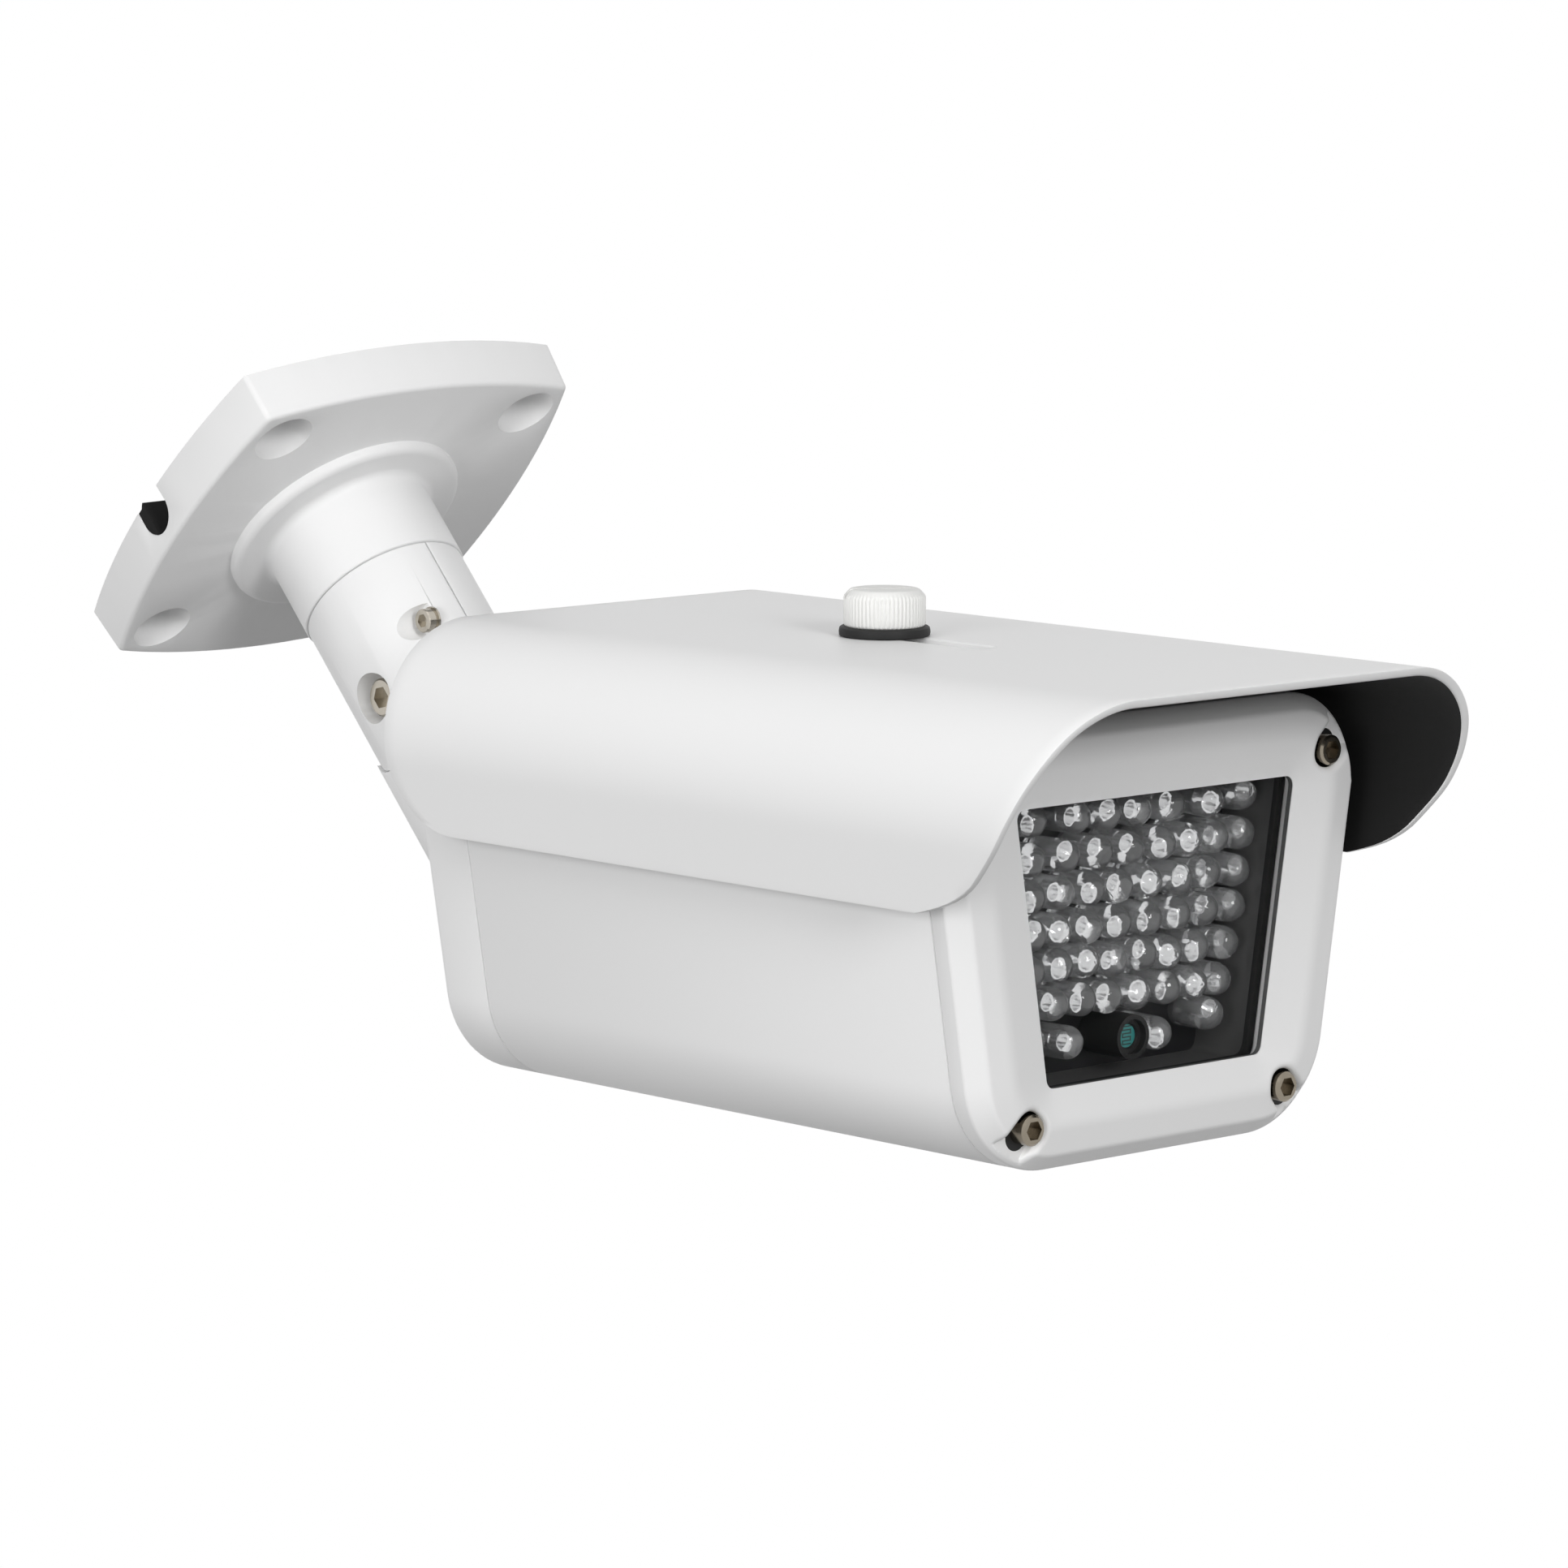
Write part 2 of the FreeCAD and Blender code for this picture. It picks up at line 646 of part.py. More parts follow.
# Window glass, its gasket and the inner frame
gasket_front = glass_recess + glass_thick
along(body("window_glass", head_place), "pane", window(1.8), glass_recess, "glass_thick")
along(body("window_gasket", head_place), "ring", window(1.8) + window(0.6), gasket_front, 1.0)
frame = body("inner_frame", head_place)
step_y = gasket_front + 1.0
along(frame, "step", window(1.8), step_y, front_seam - step_y)
along(frame, "flange", window(5.2, 3.0), front_seam, 1.5)
along(frame, "wall", window(2.5, 2.5), front_seam + 1.5, board_face - front_seam - 1.5)
hollow(frame, "tunnel", window(tunnel_outset, 1.6), 0, 20)
clearing = []
for x, z in corner_spots:
    clearing += circle(x, z, 3.7)
hollow(frame, "corners", clearing, 0, 12)
frame_spots = []
for sx in (-1, 1):
    for z in (-10, 10):
        frame_spots.append((sx * (window_half + window_slope * z + 3.85), z))
holes = []
blind = []
for x, z in frame_spots:
    holes += circle(x, z, 0.9)
    blind += circle(x, z, 0.9)
hollow(frame, "holes", holes, 0, 8)
hollow(bezel, "frame_threads", blind, front_seam - 2.2, 4)
tiny = socket_screw(1.15, 1.0, 0.85, 3.4, 1.0, 0.6)
group("frame_screws", [set_at(tiny, (x, front_seam + 1.5, z), (0, 1, 0)) for x, z in frame_spots], head_place)

# Lamp board and what stands on it
board_low = window_half_height + 2.3
board_half = window_half
lug_z = window_half_height + board_screw_edge
board_spots = [(-15, lug_z), (15, lug_z), (-11, -lug_z), (11, -lug_z)]
lugs = []
for x, z in board_spots:
    lugs += circle(x, z, 1.5)
for k, (x, z) in enumerate(board_spots):
    out = 1 if z > 0 else -1
    lug = rounded([(x - 2, z + out * 0.6), (x + 2, z + out * 0.6), (x + 2, z + out * 3.4), (x - 2, z + out * 3.4)], 0)
    along(frame, "lug%d" % k, lug, front_seam + 1.5, board_face - front_seam - 1.5)
taps = []
for x, z in board_spots:
    out = 1 if z > 0 else -1
    taps += circle(x, z + out * 2.0, 0.8)
hollow(frame, "taps", taps, board_face - 5, 6)
lamp_board = body("lamp_board", head_place)
along(lamp_board, "sheet", window(4.6, 3.0), board_face, "board_thick")
hollow(lamp_board, "corners", clearing, 0, 30)
hollow(lamp_board, "holes", taps, 0, 30)
board_rear = board_face + board_thick
tiny = socket_screw(1.5, 1.2, 0.75, 5.5, 1.3, 0.7)
board_screws = []
for x, z in board_spots:
    out = 1 if z > 0 else -1
    board_screws.append(set_at(tiny, (x, board_rear, z + out * 2.0), (0, 1, 0)))
group("board_screws", board_screws, head_place)
# rows of lamps, each at its distance below the window's top edge
rows = [(3.45, (26.1, 19.2, 10.8, 4.1, -2.6, -8.8, -17.5, -24.4)),
        (9.05, (25.5, 20.0, 14.5, 9.3, 2.4, -3.9, -10.9, -17.3, -23.6)),
        (14.3, (24.2, 18.2, 12.3, 6.3, 0.4, -5.6, -11.6, -17.6, -23.4)),
        (19.65, (23.4, 17.9, 11.9, 5.9, -0.1, -6.0, -12.0, -17.7, -23.2)),
        (24.95, (22.3, 16.3, 10.6, 4.9, -0.9, -6.6, -12.3, -18.1)),
        (30.25, (21.0, 15.7, 9.9, 4.2, -1.6, -7.3, -13.0, -18.9)),
        (35.35, (19.9,)), (36.85, (8.5,)), (36.35, (-9.8,)), (35.25, (-17.2,))]
sensor_x = sensor_place
sensor_z = sensor_edge - window_half_height
lamp_spots = []
for below, xs in rows:
    z = window_half_height - below
    room = window_half + window_slope * z + tunnel_outset - lamp_radius
    for x in xs:
        apart = math.hypot(x - sensor_x, z - sensor_z)
        if abs(x) < room and z > lamp_radius - window_half_height and apart > lamp_radius + sleeve_radius + gap:
            lamp_spots.append((x, z))
r_l = lamp_radius
lamp_length = board_face - lamp_tip
lamp = rod(r_l, lamp_length - r_l, (0, 0, 0)).fuse(Part.makeSphere(r_l, V(0, 0, lamp_length - r_l)))
lamp = lamp.removeSplitter()
lamps = [set_at(lamp, (x, board_face, z), (0, -1, 0)) for x, z in lamp_spots]
group("lamps", lamps, head_place)
sleeve = ring(sleeve_radius, sleeve_radius - 0.7, board_face - 6.6, (sensor_x, 6.6, sensor_z), (0, 1, 0))
group("sensor_sleeve", [sleeve], head_place)
group("light_sensor", [rod(2.5, board_face - 8.0, (sensor_x, 8.0, sensor_z), (0, 1, 0))], head_place)

# Driver board on posts, with what stands on it
floor_z = housing_wall - body_half_height
board_z = floor_z + post_height
side_in = housing_wall * math.hypot(1, body_slope)
floor_half = body_half + body_slope * floor_z - side_in
floor_turn = math.radians(90) - math.atan(body_slope)
floor_flat = floor_half - (bottom_round - housing_wall) * math.tan(floor_turn / 2)
post_x = floor_flat - post_side
post_spots = [(-post_x, 34), (post_x, 34), (-post_x, 90), (post_x, 90)]
posts = []
post_screws = []
stud = socket_screw(2.0, 1.6, 0.95, 6.0, 1.5, 0.9)
for x, y in post_spots:
    posts.append(rod(post_radius, board_z - floor_z, (x, y, floor_z)).cut(rod(1.0, 6.5, (x, y, board_z - 6.5))))
    post_screws.append(set_at(stud, (x, y, board_z + 1.6), (0, 0, 1)))
group("driver_posts", posts, head_place)
group("driver_screws", post_screws, head_place)
driver = Part.makeBox(50, 66, 1.6, V(-25, 29, board_z))
for x, y in post_spots:
    driver = driver.cut(rod(1.05, 3, (x, y, board_z - 1)))
group("driver_board", [driver], head_place)
top_z = board_z + 1.6
group("capacitors", [rod(4, 12, (-12, 46, top_z)), rod(4, 12, (-12, 57, top_z))], head_place)
group("coil", [ring(7, 3, 6, (10, 52, top_z))], head_place)
group("regulator", [Part.makeBox(10, 4.5, 15, V(-5, 70, top_z))], head_place)
terminals = Part.makeBox(16, 8, 10, V(-8, 84, top_z))
for k in range(3):
    terminals = terminals.cut(Part.makeBox(3, 5, 4, V(-6.5 + 5 * k, 88, top_z + 1.5)))
group("terminal_block", [terminals], head_place)

# Corner screws, front and rear
corner_screw = socket_screw(screw_head_radius, screw_seat - screw_head_face, screw_shank_radius, 13.0, 2.6, 1.6)
front_set = [set_at(corner_screw, (x, screw_seat, z), (0, -1, 0)) for x, z in corner_spots]
group("bezel_screws", front_set, head_place)
corner_screw = socket_screw(screw_head_radius, 2.5, screw_shank_radius, 13.0, 2.0, 1.3)
rear_set = [set_at(corner_screw, (x, cap_rear - 2.6, z), (0, 1, 0)) for x, z in corner_spots]
group("rear_cap_screws", rear_set, head_place)

# Brass insert, washer and thumbscrew
t_y = thumb_place
insert_low = hood_under - insert_length - gap
t_r = thumb_shank_radius
brass = ring(insert_radius, t_r + running_gap, insert_length, (0, t_y, insert_low))
group("thumb_insert", [brass], head_place)
hood_top = hood_under + hood_sheet
washer = ring(thumb_washer_radius, t_r + 0.3, thumb_washer_thick, (0, t_y, hood_top))
group("thumb_washer", [washer], head_place)
knob_low = hood_top + thumb_washer_thick
ribs = 59
star = []
for k in range(2 * ribs):
    a = math.pi * k / ribs
    r = thumb_radius - (0.28 if k % 2 else 0)
    star.append(V(r * math.cos(a), t_y + r * math.sin(a), knob_low))
star.append(star[0])
knob = Part.Face(Part.makePolygon(star)).extrude(V(0, 0, thumb_height))
top_cut = Part.makeCone(thumb_radius + 0.1 + thumb_height - 0.9, thumb_radius - 0.8,
                        thumb_height, V(0, t_y, knob_low), V(0, 0, 1))
knob = knob.common(top_cut)
knob = knob.fuse(rod(t_r, knob_low - insert_low - 0.8, (0, t_y, insert_low + 0.8)))
knob = knob.cut(Part.makeBox(1.1, 20, 2.0, V(-0.55, t_y - 10, knob_low + thumb_height - 1.4)))
turned_knob = knob.copy()
turned_knob.rotate(V(0, t_y, 0), V(0, 0, 1), 60)
group("thumbscrew", [turned_knob], head_place)

# Hood: bent sheet, swept front edge, rounded rear corners, slot for the thumbscrew
hood = body("hood", head_place)
lean = math.radians(hood_lean)


def bend_run(inset):
    r = hood_round - inset
    c = V(hood_flat, hood_top - hood_round, 0)
    top = c + V(0, r, 0)
    mid = c + V(r * math.cos(math.radians(40)), r * math.sin(math.radians(40)), 0)
    low = c + V(r * math.cos(lean), -r * math.sin(lean), 0)
    drop = (low.y - hood_low) / math.cos(lean)
    end = low + V(-math.sin(lean), -math.cos(lean), 0) * drop
    return top, mid, low, end


def mirror(point):
    return V(-point.x, point.y, 0)


o_top, o_mid, o_low, o_end = bend_run(0)
i_top, i_mid, i_low, i_end = bend_run(hood_sheet)
band = [Part.LineSegment(mirror(o_top), o_top), Part.Arc(o_top, o_mid, o_low), Part.LineSegment(o_low, o_end),
        Part.LineSegment(o_end, i_end), Part.LineSegment(i_end, i_low), Part.Arc(i_low, i_mid, i_top),
        Part.LineSegment(i_top, mirror(i_top)), Part.Arc(mirror(i_top), mirror(i_mid), mirror(i_low)),
        Part.LineSegment(mirror(i_low), mirror(i_end)), Part.LineSegment(mirror(i_end), mirror(o_end)),
        Part.LineSegment(mirror(o_end), mirror(o_low)), Part.Arc(mirror(o_low), mirror(o_mid), mirror(o_top))]
along(hood, "sheet", band, -hood_reach, hood_reach + hood_rear + 2 * hood_rear_lean)
# front edge from the top down: place along the hood, distance below the hood's top
front_edge = [(-23.9, -0.1), (-21.7, 4.8), (-18.5, 12.0), (-13.4, 20.5), (-9.1, 25.25), (-6.15, 27.95),
              (-3.04, 29.3), (1.67, 30.66), (5.15, 31.5)]
sweep = [(y, hood_top - below) for y, below in front_edge]
curve = Part.BSplineCurve()
curve.interpolate([V(y, z, 0) for y, z in sweep])
first = V(sweep[0][0], sweep[0][1], 0)
last = V(sweep[-1][0], sweep[-1][1], 0)
high = hood_top + 6.9
ahead = -hood_reach - 14
corners = [(last.x, last.y), (last.x, 0), (ahead, 0), (ahead, high), (first.x, high), (first.x, first.y)]
front_waste = [curve]
for (y_a, z_a), (y_b, z_b) in zip(corners, corners[1:]):
    front_waste.append(Part.LineSegment(V(y_a, z_a, 0), V(y_b, z_b, 0)))
pocket(hood, "front_cut", "YZ_Plane", front_waste, 0, through=True)
r_c = hood_rear_round
low = hood_low
rear = hood_rear
far = rear + 4 * hood_rear_lean
arc_y = rear - r_c * 0.2929
turn_arc = Part.Arc(V(rear - r_c, low, 0), V(arc_y, low + r_c * 0.2929, 0), V(rear, low + r_c, 0))
corners = [(rear, low + r_c), (rear + hood_rear_lean, hood_top), (rear + hood_rear_lean, high), (far, high), (far, 0),
           (rear - r_c, 0), (rear - r_c, low)]
rear_waste = [turn_arc]
for (y_a, z_a), (y_b, z_b) in zip(corners, corners[1:]):
    rear_waste.append(Part.LineSegment(V(y_a, z_a, 0), V(y_b, z_b, 0)))
pocket(hood, "rear_cut", "YZ_Plane", rear_waste, 0, through=True)
s_h = slot_half
slot = rounded([(-s_h, slot_front), (s_h, slot_front), (s_h, slot_rear), (-s_h, slot_rear)],
               s_h - 0.01)
pocket(hood, "slot", "XY_Plane", slot, hood_top + 12, 30)
doc.recompute()

for item in doc.Objects:
    if any(word in item.State for word in ("Invalid", "Error")):
        raise ValueError("not built: %s %s" % (item.Name, item.State))
for item in nodes:
    shape = item.Shape
    if shape.isNull() or not shape.isValid():
        raise ValueError("bad shape: " + item.Label)
    box = shape.BoundBox
    print("%-18s solids %2d volume %9.1f faces %3d  x %6.1f %6.1f y %7.1f %7.1f z %6.1f %6.1f" % (
        item.Label, len(shape.Solids), shape.Volume, len(shape.Faces), box.XMin, box.XMax,
        box.YMin, box.YMax, box.ZMin, box.ZMax))
    shape.exportStep("parts/" + item.Label + ".step")
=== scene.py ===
import bmesh
import bpy
import math
from collections import namedtuple
from mathutils import Matrix, Vector
from mathutils.geometry import delaunay_2d_cdt


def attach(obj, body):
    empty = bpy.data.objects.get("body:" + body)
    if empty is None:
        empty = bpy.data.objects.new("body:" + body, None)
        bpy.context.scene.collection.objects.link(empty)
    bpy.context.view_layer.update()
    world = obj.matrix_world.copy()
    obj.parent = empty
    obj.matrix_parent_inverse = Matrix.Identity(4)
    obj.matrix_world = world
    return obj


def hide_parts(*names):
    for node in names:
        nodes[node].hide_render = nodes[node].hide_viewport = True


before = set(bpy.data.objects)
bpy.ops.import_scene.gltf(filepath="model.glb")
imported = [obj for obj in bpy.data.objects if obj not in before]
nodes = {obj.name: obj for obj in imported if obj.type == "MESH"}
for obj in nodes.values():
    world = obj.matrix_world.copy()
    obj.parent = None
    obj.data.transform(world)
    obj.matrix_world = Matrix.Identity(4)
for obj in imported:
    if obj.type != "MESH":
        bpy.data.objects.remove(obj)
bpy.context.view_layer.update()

# Drawing frame of the lamp head, in millimetres: window centre at the origin, y back along the head, z up
MM = 0.001
ARM_RISE = math.radians(47.14)
ARM_REACH = 66.58
HEAD_REACH = 145.7
HEAD_DROP = 3.84
WINDOW_Y = -ARM_REACH * math.cos(ARM_RISE) - HEAD_REACH
WINDOW_Z = -ARM_REACH * math.sin(ARM_RISE) - HEAD_DROP
SCALE = Matrix.Scale(MM, 4)
HEAD = SCALE @ Matrix.Translation((0, WINDOW_Y, WINDOW_Z))

# Outlines with leaning sides: half width at mid height, lean, half height, lower and upper corner radius
Outline = namedtuple("Outline", "half lean high low_r high_r")
BODY = Outline(39.45, 0.1613, 32.2, 15.7, 13.5)
WINDOW = Outline(25.185, 0.1632, 20.25, 1.5, 1.5)

# The lamp body along y: two seams with softened edges, given as depth and inset, and the back of the cap
SEAM_FRONT = 4.9
SEAM_REAR = 105.9
CAP_BACK = 116.5
EASE = ((0.0, 0.35), (0.12, 0.12), (0.4, 0.0))

# Points round a corner and along a side, for the shells, the bezel and the window opening
SHELL_STEPS = (16, 6)
BEZEL_STEPS = (26, 14)
OPENING_STEPS = (8, 14)


def linear(code):
    # sRGB hex colour to the linear values that a shader takes
    out = []
    for k in (0, 2, 4):
        c = int(code[k:k + 2], 16) / 255
        out.append(c / 12.92 if c <= 0.04045 else ((c + 0.055) / 1.055) ** 2.4)
    return (*out, 1.0)


def add(tree, kind, links=(), **settings):
    # one node with its settings, and the links into it as (input, socket)
    item = tree.nodes.new(kind)
    for key, value in settings.items():
        if hasattr(item, key):
            setattr(item, key, value)
        else:
            item.inputs[key.replace("_", " ")].default_value = value
    for name, socket in links:
        tree.links.new(socket, item.inputs[name])
    return item


def finish_of(name, colour, rough, grain_mm=2.5, relief=0.0, vary=0.0, metal=0.0, spec=0.5, uneven=0.04):
    # a finish whose colour, gloss and height follow one grain, its size in millimetres
    mat = bpy.data.materials.new(name)
    mat.use_nodes = True
    tree = mat.node_tree
    shader = tree.nodes["Principled BSDF"]
    shader.inputs["Metallic"].default_value = metal
    shader.inputs["Specular IOR Level"].default_value = spec
    place = add(tree, "ShaderNodeTexCoord")
    noise = add(tree, "ShaderNodeTexNoise", [("Vector", place.outputs["Object"])],
                Scale=1 / (grain_mm * MM), Detail=3.0)
    if vary:
        shade = add(tree, "ShaderNodeMapRange", [("Value", noise.outputs["Fac"])],
                    To_Min=1 - vary, To_Max=1 + vary)
        tint = add(tree, "ShaderNodeVectorMath", [("Scale", shade.outputs["Result"])],
                   operation="SCALE", Vector=linear(colour)[:3])
        tree.links.new(tint.outputs["Vector"], shader.inputs["Base Color"])
    else:
        shader.inputs["Base Color"].default_value = linear(colour)
    if uneven:
        gloss = add(tree, "ShaderNodeMapRange", [("Value", noise.outputs["Fac"])],
                    To_Min=max(rough - uneven, 0.02), To_Max=rough + uneven)
        tree.links.new(gloss.outputs["Result"], shader.inputs["Roughness"])
    else:
        shader.inputs["Roughness"].default_value = rough
    if relief:
        bump = add(tree, "ShaderNodeBump", [("Height", noise.outputs["Fac"])],
                   Strength=relief, Distance=0.05 * MM)
        tree.links.new(bump.outputs["Normal"], shader.inputs["Normal"])
    return mat


def clear_of(name, colour, ior, alpha=1.0, transmission=0.0, **grain):
    # a see-through finish, evenly smooth
    mat = finish_of(name, colour, 0.02, uneven=0.0, **grain)
    shader = mat.node_tree.nodes["Principled BSDF"]
    shader.inputs["IOR"].default_value = ior
    shader.inputs["Transmission Weight"].default_value = transmission
    shader.inputs["Alpha"].default_value = alpha
    return mat


# Powder-coated aluminium: satin white, its faint orange peel keeps the highlights broad
powder_coat = finish_of("white_powder_coat", "EFEFEF", 0.42, 0.385, 0.05, 0.006, spec=0.3)
# Moulded ABS: a slightly warmer and duller white than the paint
knob_abs = finish_of("white_moulded_abs", "E6E6E4", 0.45, 0.556, 0.05, 0.01, spec=0.3)
# Painted shade inside the hood: a matt near-black sheet where the shade under the hood falls, swallowing the
# light above the window
hood_painted_shade = finish_of("painted_shade_under_hood", "161616", 0.7, 0.455, 0.15, 0.1, spec=0.3)
# Stainless steel with painted shade for the screws in shade: a darker brownish mirror that shows the socket
# of each screw
steel_painted_shade = finish_of("stainless_steel_painted_shade", "8C8477", 0.2, 0.667, 0.06, 0.05, metal=1.0)
# Stainless steel with painted light for the parts in the open: paler and brighter against the white castings
steel_painted_light = finish_of("stainless_steel_painted_light", "B9B3A8", 0.22, 0.667, 0.06, 0.05, metal=1.0)
# Painted shade in the screw seats: a dark line and hollow round each screw head, where shade falls in the
# recess
seat_painted_shade = finish_of("painted_shade_screw_seat", "0C0C0C", 0.5, vary=0.05, spec=0.3)
# Moulded rubber: dull black that parts the white castings
rubber = finish_of("moulded_black_rubber", "141414", 0.6, 0.667, 0.1, 0.1, spec=0.35)
# Closed-cell foam: soft, matt and pitted, its cells drawn coarse enough to show
cell_foam = finish_of("black_cell_foam", "191919", 0.9, 1.11, 0.8, 0.3, spec=0.2)
# Fibreglass board with black solder mask: a smooth dark ground behind the lamps
board_black = finish_of("black_solder_mask", "0E0E10", 0.35, 1.11, 0.05, 0.1)
# Moulded ABS frame: a dull grey band beside the lamps
frame_abs = finish_of("grey_moulded_abs", "565656", 0.45, 0.833, 0.1, 0.05)
# Cast epoxy face of the light sensor: a small blue-green disc
sensor_face = finish_of("teal_sensor_epoxy", "2F8C88", 0.3, vary=0.05)
# Printed track on that face: thin dark folds
sensor_print = finish_of("dark_sensor_track", "0F3A3A", 0.3, vary=0.05)
# Tinned steel lead frame: broken glints inside each lamp
tinned_steel = finish_of("tinned_lead_frame", "FFFFFF", 0.1, vary=0.05, metal=0.8)
# Cast epoxy, water clear with a slow wave of about 1.4 mm: bends the lead frame into bright patches
lamp_epoxy = clear_of("clear_cast_epoxy", "FAFBFC", 1.5, transmission=0.88, grain_mm=1.4286, relief=3.2)
# Float glass: almost unseen, it only lays a faint sheen over the window
float_glass = clear_of("float_glass", "101214", 1.45, alpha=0.04)
# Fittings inside the housing, seen only when it is opened: plain moulded, sleeved and turned surfaces
board_green = finish_of("green_solder_mask", "14532D", 0.4, 1.11, 0.05, 0.05)
sleeve_blue = finish_of("blue_shrink_sleeve", "1B2450", 0.3, vary=0.05)
ferrite = finish_of("sintered_ferrite", "242424", 0.6, 1.11, 0.3, 0.1)
case_epoxy = finish_of("moulded_black_epoxy", "1A1A1A", 0.5, 1.11, 0.2, 0.1)
terminal_nylon = finish_of("green_moulded_nylon", "2E7D4F", 0.45, 1.11, 0.1, 0.05)
brass = finish_of("turned_brass", "C9A24B", 0.25, 1.11, 0.05, 0.05, metal=1.0)


def smooth(mesh, angle):
    # faces outwards, shaded smooth up to the angle in degrees
    work = bmesh.new()
    work.from_mesh(mesh)
    bmesh.ops.recalc_face_normals(work, faces=work.faces)
    work.to_mesh(mesh)
    work.free()
    mesh.polygons.foreach_set("use_smooth", [True] * len(mesh.polygons))
    mesh.set_sharp_from_angle(angle=math.radians(angle))
    mesh.update()


def link(name, data):
    item = bpy.data.objects.new(name, data)
    bpy.context.scene.collection.objects.link(item)
    return item


def build(name, shape, body, mats, stands_for=(), kinds=None, angle=35.0, place=HEAD):
    # a piece from millimetre points and faces; kinds gives the material of each face
    verts, faces = shape
    mesh = bpy.data.meshes.new(name)
    mesh.from_pydata([place @ Vector(v) for v in verts], [], faces)
    for mat in mats:
        mesh.materials.append(mat)
    if kinds:
        mesh.polygons.foreach_set("material_index", kinds)
    smooth(mesh, angle)
    item = link(name, mesh)
    if body:
        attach(item, body)
    if stands_for:
        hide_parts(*stands_for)
    return item


def apply_all(item):
    # modifiers turned into the plain mesh that they make
    bpy.context.view_layer.update()
    graph = bpy.context.evaluated_depsgraph_get()
    mesh = bpy.data.meshes.new_from_object(item.evaluated_get(graph))
    item.modifiers.clear()
    item.data = mesh


def carve(item, cutter, angle):
    # takes the cutter's solid away from the piece
    change = item.modifiers.new("carve", "BOOLEAN")
    change.operation = "DIFFERENCE"
    change.solver = "EXACT"
    change.object = cutter
    apply_all(item)
    bpy.data.objects.remove(cutter)
    smooth(item.data, angle)


def corner_arc(before, here, after, radius):
    # start, centre and end of the arc that rounds a corner, and half the corner's angle
    back = (Vector(before) - here).normalized()
    ahead = (Vector(after) - here).normalized()
    half = back.angle(ahead) / 2
    reach = radius / math.tan(half)
    centre = here + (back + ahead).normalized() * (radius / math.sin(half))
    return here + back * reach, centre, here + ahead * reach, half


def rounded(points, radii, per, along):
    # closed outline with rounded corners: per steps round each, along steps on each side
    count = len(points)
    arcs = [corner_arc(points[i - 1], Vector(points[i]), points[(i + 1) % count], max(radii[i], 1e-3))
            for i in range(count)]
    out = []
    for i in range(count):
        start, centre, stop, half = arcs[i]
        a0 = math.atan2(start.y - centre.y, start.x - centre.x)
        a1 = math.atan2(stop.y - centre.y, stop.x - centre.x)
        r = (start - centre).length
        turn = (a1 - a0 + math.pi) % (2 * math.pi) - math.pi
        for k in range(per + 1):
            a = a0 + turn * k / per
            out.append((centre.x + r * math.cos(a), centre.y + r * math.sin(a)))
        following = arcs[(i + 1) % count][0]
        for k in range(1, along):
            p = stop.lerp(following, k / along)
            out.append((p.x, p.y))
    return out


def eased(points, radii, steps=8):
    # open path with rounded corners
    out = [points[0]]
    for i in range(1, len(points) - 1):
        start, centre, stop, half = corner_arc(points[i - 1], Vector(points[i]), points[i + 1], radii[i - 1])
        start = start - centre
        stop = stop - centre
        turn = math.copysign(math.pi - 2 * half, start.cross(stop))
        for k in range(steps + 1):
            a = turn * k / steps
            x = start.x * math.cos(a) - start.y * math.sin(a)
            y = start.x * math.sin(a) + start.y * math.cos(a)
            out.append((centre.x + x, centre.y + y))
    out.append(points[-1])
    return out


def leaning(outline, inset, radii, steps):
    # rounded outline with leaning sides, moved inwards
    high = outline.high - inset
    side = inset * math.hypot(1, outline.lean)
    low_x = outline.half - outline.lean * high - side
    high_x = outline.half + outline.lean * high - side
    points = [(-low_x, -high), (low_x, -high), (high_x, high), (-high_x, high)]
    return rounded(points, radii, *steps)


def body_loop(inset, steps):
    low_r = max(BODY.low_r - inset, 0.8)
    high_r = max(BODY.high_r - inset, 0.8)
    return leaning(BODY, inset, [low_r, low_r, high_r, high_r], steps)


def window_loop(outset, corner):
    return leaning(WINDOW, -outset, [corner] * 4, OPENING_STEPS)


def flat(outline, y):
    # an outline in x and z, stood upright at y
    return [(x, y, z) for x, z in outline]


def skin(loops, cap_first=False, cap_last=False, ring=False):
    # quads between closed loops with the same number of points
    count = len(loops[0])
    verts = [p for loop in loops for p in loop]
    faces = []
    for k in range(len(loops) if ring else len(loops) - 1):
        a = k * count
        b = ((k + 1) % len(loops)) * count
        for i in range(count):
            j = (i + 1) % count
            faces.append((a + i, a + j, b + j, b + i))
    if cap_first:
        faces.append(tuple(range(count))[::-1])
    if cap_last:
        faces.append(tuple(range((len(loops) - 1) * count, len(loops) * count)))
    return verts, faces


def turned(profile, steps, centre=(0, 0), ring=True):
    # profile of (radius, height) turned about the upright through centre
    loops = []
    for r, h in profile:
        loops.append([(centre[0] + r * math.cos(2 * math.pi * k / steps),
                       centre[1] + r * math.sin(2 * math.pi * k / steps), h) for k in range(steps)])
    return skin(loops, ring=ring)


def block(low, high):
    # a box between two corners
    (x0, y0, z0), (x1, y1, z1) = low, high
    return skin([[(x0, y0, z), (x1, y0, z), (x1, y1, z), (x0, y1, z)] for z in (z0, z1)], True, True)


def plate(x0, x1, z0, z1, y0, y1):
    # a thin box that lies in the face of the lamp head
    return skin([[(x0, y, z0), (x1, y, z0), (x1, y, z1), (x0, y, z1)] for y in (y0, y1)], True, True)


def moved(shape, matrix):
    verts, faces = shape
    return [tuple(matrix @ Vector(v)) for v in verts], faces


def merge(shapes):
    verts = []
    faces = []
    for more, over in shapes:
        base = len(verts)
        verts += more
        faces += [tuple(i + base for i in face) for face in over]
    return verts, faces


